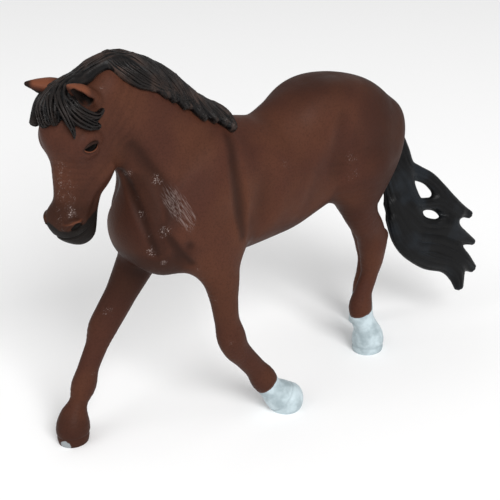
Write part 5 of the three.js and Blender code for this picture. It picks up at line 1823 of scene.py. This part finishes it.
@dataclass
class StrandPlan:
    """Where the fine raised strands of a growth of hair run."""

    hair: Hair
    distance: Field
    sides: tuple[int, ...]
    per_lock: int
    girth: float
    spread: float = 0.86
    jitter: float = 0.07
    weave: float = 0.1
    section: int = 8
    seed: int = 7

    def paths(self) -> tuple[list[Array], list[Array]]:
        """Points of the strands, and the share of their girth at each."""
        rng = np.random.default_rng(self.seed)
        paths, fulls = [], []
        for lock in self.hair.locks:
            rows = lock.mass().stations
            at = np.array([r.at for r in rows])
            wide = np.array([r.wide for r in rows])
            run = np.gradient(at, axis=0)
            run /= norm(run, axis=1, keepdims=True)
            deep = np.cross(wide, run)
            deep /= norm(deep, axis=1, keepdims=True)
            depth = np.array([r.depth for r in rows])
            width = np.array([r.width for r in rows])
            share = np.linspace(0, 1, len(rows))
            for side in self.sides:
                for k in range(self.per_lock):
                    place = (2 * (k + 0.5) / self.per_lock - 1) * self.spread
                    place = place + rng.uniform(-self.jitter, self.jitter)
                    first, last = rng.uniform(0.0, 0.25), rng.uniform(0.8, 1.0)
                    keep = (share >= first) & (share <= last)
                    if keep.sum() < 4:
                        continue
                    u = place + self.weave * np.sin(share * 4 + rng.uniform(0, 6))
                    lift = width * np.sqrt(np.maximum(1 - u**2, 0.05))
                    points = at + deep * (u * depth)[:, None] + side * wide * lift[:, None]
                    t = np.linspace(0, 1, keep.sum())
                    paths.append(points[keep])
                    fulls.append(np.clip(np.sin(math.pi * (0.06 + 0.9 * t)), 0.1, 1) * rng.uniform(0.7, 1.0))
        ends = np.cumsum([len(path) for path in paths])[:-1]
        settled = settle(self.distance, np.concatenate(paths), -0.35 * self.girth, 0.08, 1.6)
        return np.split(settled, ends), fulls


@dataclass(frozen=True)
class Lid:
    """One lid: its arch over the middle of the eye and its girth, in mm, and how dark it is painted."""

    name: str
    arch: float
    girth: float
    dark: float
    warm: float


LIDS = (Lid("upper", 1.02, 0.36, 0.95, 0.0), Lid("lower", -0.98, 0.22, 0.4, 0.6))
LID_REACH = 2.05  # mm, half the length of a lid


def level(height: float, way: float) -> Plane:
    """A flat cut at a height that takes off what lies above it, way 1, or below it, way -1."""
    return (np.array([0, 0, height]), np.array([0.0, 0, way]))


@dataclass
class Horse:
    """The whole figure: builds every piece and dresses it."""

    grain: Grain = field(default_factory=Grain.chosen)
    trunk_low: tuple[float, float] = (-42.0, -19.0)
    trunk_high: Place = (74.0, 19.0, 104.0)
    head_low: Place = (-56.0, -12.0, 58.0)
    head_high: Place = (-16.0, 14.0, 108.0)
    leg_margin: float = 9.0
    foot_margin: float = 7.0
    hair_margin: float = 1.0
    overrun: float = 2.0
    divide_overrun: float = 1.5
    leg_gap: float = 0.2

    def __post_init__(self) -> None:
        """Works the sculpt and the paints."""
        self.flesh = Flesh()
        self.features = Features(self.flesh)
        self.groom = Groom(self.flesh, self.features.horn)
        self.maps = PaintMap(self.features)
        self.strand_tree = StrandTree()
        self.coat = CoatFinish().build()
        self.hair_paint = HairFinish("hair_paint").build()
        self.white = FootFinish("white_foot_paint").build()
        # The tail's bluish colour on the ridges and in patches is painted sheen.
        self.tail_paint = HairFinish(
            "tail_paint", ridge="0b0b0c", brush_highlight="232a31", share=0.4, sheen=0.34, roughness=0.36
        ).build()

    def build(self) -> None:
        """Builds all pieces."""
        self.trunk()
        self.head()
        for name in LEG_SHARES:
            self.leg(name)
        self.hair()
        self.eyes()

    def _neck_plane(self, ahead: bool) -> Plane:
        """The slanted face where head and neck meet, cutting off one side."""
        point = self.features.head.place(NECK_JOIN_SHARES)
        tilt = math.radians(SIZES.head_tilt)
        away = np.array([-math.cos(tilt), 0, math.sin(tilt)])
        return (point, away if ahead else -away)

    def _coat_maps(self, distance: Field, points: Array, head: bool) -> dict[str, Array]:
        """Paint maps of a coat-covered skin."""
        none = np.zeros(len(points))
        rim, inside = self.maps.ears(points) if head else (none, none)
        return {
            "relief": self.maps.relief(distance, points, 0.9 if head else 2.2),
            "muzzle": self.maps.muzzle(points) if head else none,
            "lids": self.maps.lids(points) if head else none,
            "warm_edge": np.maximum(rim, self.maps.rim(points)) if head else none,
            "ear_inside": inside,
            "wear": self.maps.wear(points),
            "scratches": self.maps.scratches(points),
            "shade": self.maps.shade(points),
        }

    def _dress(self, piece: Piece, skin: Skin, maps: dict[str, Array], planes: Sequence[Plane],
               finish: Material) -> bpy.types.Object:
        """Makes a piece from a skin with its paint maps."""
        return piece.from_skin(skin, planes, finish, lambda mesh: self.maps.apply(mesh, maps))

    def trunk(self) -> None:
        """The two trunk halves."""
        low = np.array([*self.trunk_low, SIZES.leg_join_height - self.overrun])
        at = self.flesh.sculpt.at
        skin = Skin.over(at, low, np.array(self.trunk_high), self.grain.trunk).largest()
        maps = self._coat_maps(at, skin.points, False)
        floor = level(SIZES.leg_join_height, -1)
        for name, hand in (("left", 1), ("right", -1)):
            middle = (np.zeros(3), np.array([0.0, hand, 0]))
            piece = Piece(f"trunk_{name}", Slot.COAT, (f"body_{name}_half",))
            self._dress(piece, skin, maps, [floor, self._neck_plane(True), middle], self.coat)

    def head(self) -> None:
        """The head with its ears, nostrils and mouth."""
        horn = self.features.horn
        skin = Skin.over(horn, np.array(self.head_low), np.array(self.head_high), self.grain.head).largest()
        maps = self._coat_maps(horn, skin.points, True)
        piece = Piece("head_skin", Slot.COAT, ("head",))
        self._dress(piece, skin, maps, [self._neck_plane(False)], self.coat)

    def leg(self, name: str) -> None:
        """One leg and its foot, parted across the pastern."""
        leg, foot = self.flesh.legs[name], self.flesh.feet[name]
        fetlock = leg[-1].at
        join = fetlock + FOOT_JOIN_SHARE * (foot[0].at - fetlock)
        below = unit(foot[1].at - fetlock)
        self._shank(name, [*leg, *foot], join, below)
        self._hoof(name, [leg[-1], *foot], join, below)

    def _box(self, stations: Sequence[Station], margin: float) -> tuple[Array, Array]:
        """Lowest and highest corner round stations, down to a little under the ground."""
        places = np.array([station.at for station in stations])
        low, high = places.min(0) - margin, places.max(0) + margin
        low[2] = -self.overrun
        return low, high

    def _shank(self, name: str, stations: Sequence[Station], join: Array, below: Array) -> None:
        """One leg down to its join with the foot."""
        low, high = self._box(stations, self.leg_margin)
        high[2] = SIZES.leg_join_height + self.overrun
        if name.endswith("left"):
            high[1] = min(high[1], -self.leg_gap)
        else:
            low[1] = max(low[1], self.leg_gap)
        at = self.flesh.sculpt.at
        skin = Skin.over(at, low, high, self.grain.leg).largest()
        maps = self._coat_maps(at, skin.points, False)
        piece = Piece(f"shank_{name}", Slot.COAT, (f"leg_{name}",))
        self._dress(piece, skin, maps, [level(SIZES.leg_join_height, 1), (join, below)], self.coat)

    def _hoof(self, name: str, stations: Sequence[Station], join: Array, below: Array) -> None:
        """One foot, white, or brown with a worn pale toe."""
        at = self.flesh.sculpt.at
        skin = Skin.over(at, *self._box(stations, self.foot_margin), self.grain.foot).largest()
        white = name != "fore_right"
        run = (skin.points - join) @ below
        toe = norm(skin.points - np.array(WORN_TOE), axis=1)
        maps = {
            "relief": self.maps.relief(at, skin.points, 1.0 if white else 2.2),
            "over": smooth(run, 0.9, 0.1),
            "toe": smooth(toe, 2.6, 1.2) if not white else np.zeros(len(run)),
        }
        if not white:
            # Painted shade: the brown hoof darker towards the ground, matching the leg's at the join.
            maps["shade"] = 0.18 + 0.35 * smooth(run, 4.0, 8.0)
        piece = Piece(f"hoof_{name}", Slot.WHITE_FOOT if white else Slot.DARK_FOOT, (f"foot_{name}",))
        self._dress(piece, skin, maps, [(join, -below), level(0, -1)], self.white if white else self.coat)

    def hair(self) -> None:
        """Mane and forelock, which are one growth parted at a plane, and the tail."""
        divide = np.array([MANE_DIVIDE_SHARE * SIZES.neck_reach, 0, 0])
        ahead = np.array([-1.0, 0, 0])
        mane, forelock, tail = self.groom.mane(), self.groom.forelock(), self.groom.tail()
        low, high = forelock.sculpt.bounds(self.hair_margin)
        forelock.locks += mane.locks
        forelock.sculpt.steps += mane.sculpt.steps
        both = self.groom.clear(forelock)
        high[0] = divide[0] + self.divide_overrun
        self._locks("forelock", both, low, high, self.grain.hair, [(divide, -ahead)], self.hair_paint)
        low, high = mane.sculpt.bounds(self.hair_margin)
        low[0] = divide[0] - self.divide_overrun
        self._locks("mane", both, low, high, self.grain.hair, [(divide, ahead)], self.hair_paint)
        self._strands("mane", StrandPlan(forelock, both, (1,), 4, 0.34), self.hair_paint)
        free = self.groom.clear(tail)
        low, high = tail.sculpt.bounds(self.hair_margin)
        self._locks("tail", free, low, high, self.grain.tail, [], self.tail_paint)
        self._strands("tail", StrandPlan(tail, free, (1, -1), 2, 0.16), self.tail_paint)

    def _locks(self, name: str, distance: Field, low: Array, high: Array, facet: float,
               planes: Sequence[Plane], finish: Material) -> None:
        """The locks of one growth of hair."""
        skin = Skin.over(distance, low, high, facet).largest()
        maps = {"relief": self.maps.relief(distance, skin.points, 0.7), "brush": self.maps.brush(skin.points)}
        self._dress(Piece(f"{name}_locks", Slot.HAIR, (name,)), skin, maps, planes, finish)

    def _strands(self, name: str, plan: StrandPlan, finish: Material) -> None:
        """The fine raised strands of one growth of hair."""
        paths, fulls = plan.paths()
        mesh = self.strand_tree.swept(f"{name}_strands", paths, fulls, plan.girth, plan.section, finish)
        places = np.array([vertex.co for vertex in mesh.vertices])
        # A fixed relief, so the raised strands take the ridge colour, a painted highlight.
        self.maps.apply(mesh, {"relief": np.full(len(places), 0.12), "brush": self.maps.brush(places)})
        Piece(f"{name}_strands", Slot.HAIR).from_mesh(mesh, finish)

    def eyes(self) -> None:
        """Both eyeballs, each with an upper and a lower lid round it."""
        finish = EyeFinish().build()
        for name, eye in zip(("left", "right"), self.features.eyes):
            self._ball(f"eye_{name}", eye, finish)
            for lid in LIDS:
                self._lid(f"lid_{name}_{lid.name}", lid, eye)

    def _ball(self, name: str, eye: EyeFrame, finish: Material) -> None:
        """One eyeball, flattened to the head."""
        long, tall, deep = self.features.ball
        work = bmesh.new()
        bmesh.ops.create_uvsphere(work, u_segments=40, v_segments=24, radius=1)
        frame = Matrix((eye.rear * long, eye.upper * tall, eye.out * deep)).transposed().to_4x4()
        bmesh.ops.transform(work, matrix=Matrix.Translation(Vector(eye.centre)) @ frame, verts=work.verts)
        bmesh.ops.recalc_face_normals(work, faces=work.faces)
        mesh = bpy.data.meshes.new(name)
        work.to_mesh(mesh)
        work.free()
        Piece(name, Slot.HAIR).from_mesh(mesh, finish)

    def _lid(self, name: str, lid: Lid, eye: EyeFrame) -> None:
        """One lid, a tapered strand that lies on the eyeball."""
        long, tall, deep = self.features.ball
        x = np.linspace(-LID_REACH, LID_REACH, 15)
        y = lid.arch * np.maximum(1 - (x / 2.15) ** 2, 0) ** 0.7
        rise = deep * np.sqrt(np.maximum(1 - (x / long) ** 2 - (y / tall) ** 2, 0.06))
        path = eye.centre + np.outer(x, eye.rear) + np.outer(y, eye.upper) + np.outer(rise, eye.out)
        full = 1 - 0.6 * (x / 2.1) ** 4
        strand = self.strand_tree.swept(name, [path], [full], lid.girth, 12, self.coat)
        tones = {"lids": lid.dark, "relief": 0.1, "warm_edge": lid.warm}
        count = len(strand.vertices)
        self.maps.apply(strand, {key: np.full(count, tone) for key, tone in tones.items()})
        Piece(name, Slot.COAT).from_mesh(strand, self.coat)


@dataclass(frozen=True)
class Lamp:
    """A soft square light: where it stands and its side, in metres, and its power in watts."""

    name: str
    place: Place
    side: float
    power: float


@dataclass(frozen=True)
class Studio:
    """Pale floor, soft lights and the photograph's camera."""

    eye_mm: Place = (-150.48, -188.17, 161.99)
    azimuth: float = -40.65
    elevation: float = 25.75
    lens: float = 75.0
    sensor: float = 36.0
    near: float = 0.01
    far: float = 20.0
    sky: float = 0.56
    floor_half: float = 6.0
    floor_tone: float = 0.98
    aim: Place = (0, 0, 0.05)
    lamps: tuple[Lamp, ...] = (
        Lamp("key", (-0.35, -1.3, 1.0), 0.9, 22.0),
        Lamp("fill", (-1.2, 0.2, 0.9), 0.9, 4.0),
    )

    def build(self) -> None:
        """Makes floor, lights and camera."""
        self._floor()
        self._world()
        for lamp in self.lamps:
            self._light(lamp)
        self._camera()
        bpy.context.scene.view_settings.view_transform = "Standard"

    def _floor(self) -> None:
        """A pale floor far wider than the view."""
        mesh = bpy.data.meshes.new("floor")
        half = self.floor_half
        corners = [(-half, -half, 0), (half, -half, 0), (half, half, 0), (-half, half, 0)]
        mesh.from_pydata(corners, [], [(0, 1, 2, 3)])
        floor = bpy.data.objects.new("floor", mesh)
        place_in_scene(floor)
        tone = (self.floor_tone, self.floor_tone, self.floor_tone, 1)
        mesh.materials.append(Shader("floor_paper").finish(tone, 0.9, None, 0.1))

    def _world(self) -> None:
        """Even light from all round."""
        world = bpy.data.worlds.new("studio")
        world.use_nodes = True
        background = world.node_tree.nodes["Background"]
        background.inputs["Color"].default_value = (1, 1, 1, 1)
        background.inputs["Strength"].default_value = self.sky
        bpy.context.scene.world = world

    def _light(self, lamp: Lamp) -> None:
        """A soft light that faces the horse."""
        light = bpy.data.lights.new(lamp.name, "AREA")
        light.shape, light.size, light.energy = "SQUARE", lamp.side, lamp.power
        holder = bpy.data.objects.new(lamp.name, light)
        holder.location = lamp.place
        aim = Vector(self.aim) - Vector(lamp.place)
        holder.rotation_euler = aim.to_track_quat("-Z", "Y").to_euler()
        place_in_scene(holder)

    def _camera(self) -> None:
        """The camera at the photograph's angle."""
        data = bpy.data.cameras.new("camera")
        data.lens, data.sensor_width = self.lens, self.sensor
        data.clip_start, data.clip_end = self.near, self.far
        camera = bpy.data.objects.new("camera", data)
        turn, rise = math.radians(self.azimuth), math.radians(self.elevation)
        back = Vector((math.sin(turn) * math.cos(rise), -math.cos(turn) * math.cos(rise), math.sin(rise)))
        right = Vector((math.cos(turn), math.sin(turn), 0))
        frame = Matrix((right, back.cross(right), back)).transposed().to_4x4()
        place = (Vector(self.eye_mm) - Vector(FOOTPRINT_MIDDLE)) * MM
        camera.matrix_world = Matrix.Translation(place) @ frame
        place_in_scene(camera)
        bpy.context.scene.camera = camera


def main() -> None:
    """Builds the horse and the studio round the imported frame."""
    logging.basicConfig(level=logging.INFO, format="%(name)s: %(message)s")
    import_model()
    Studio().build()
    Horse().build()


if __name__ == "__main__":
    main()
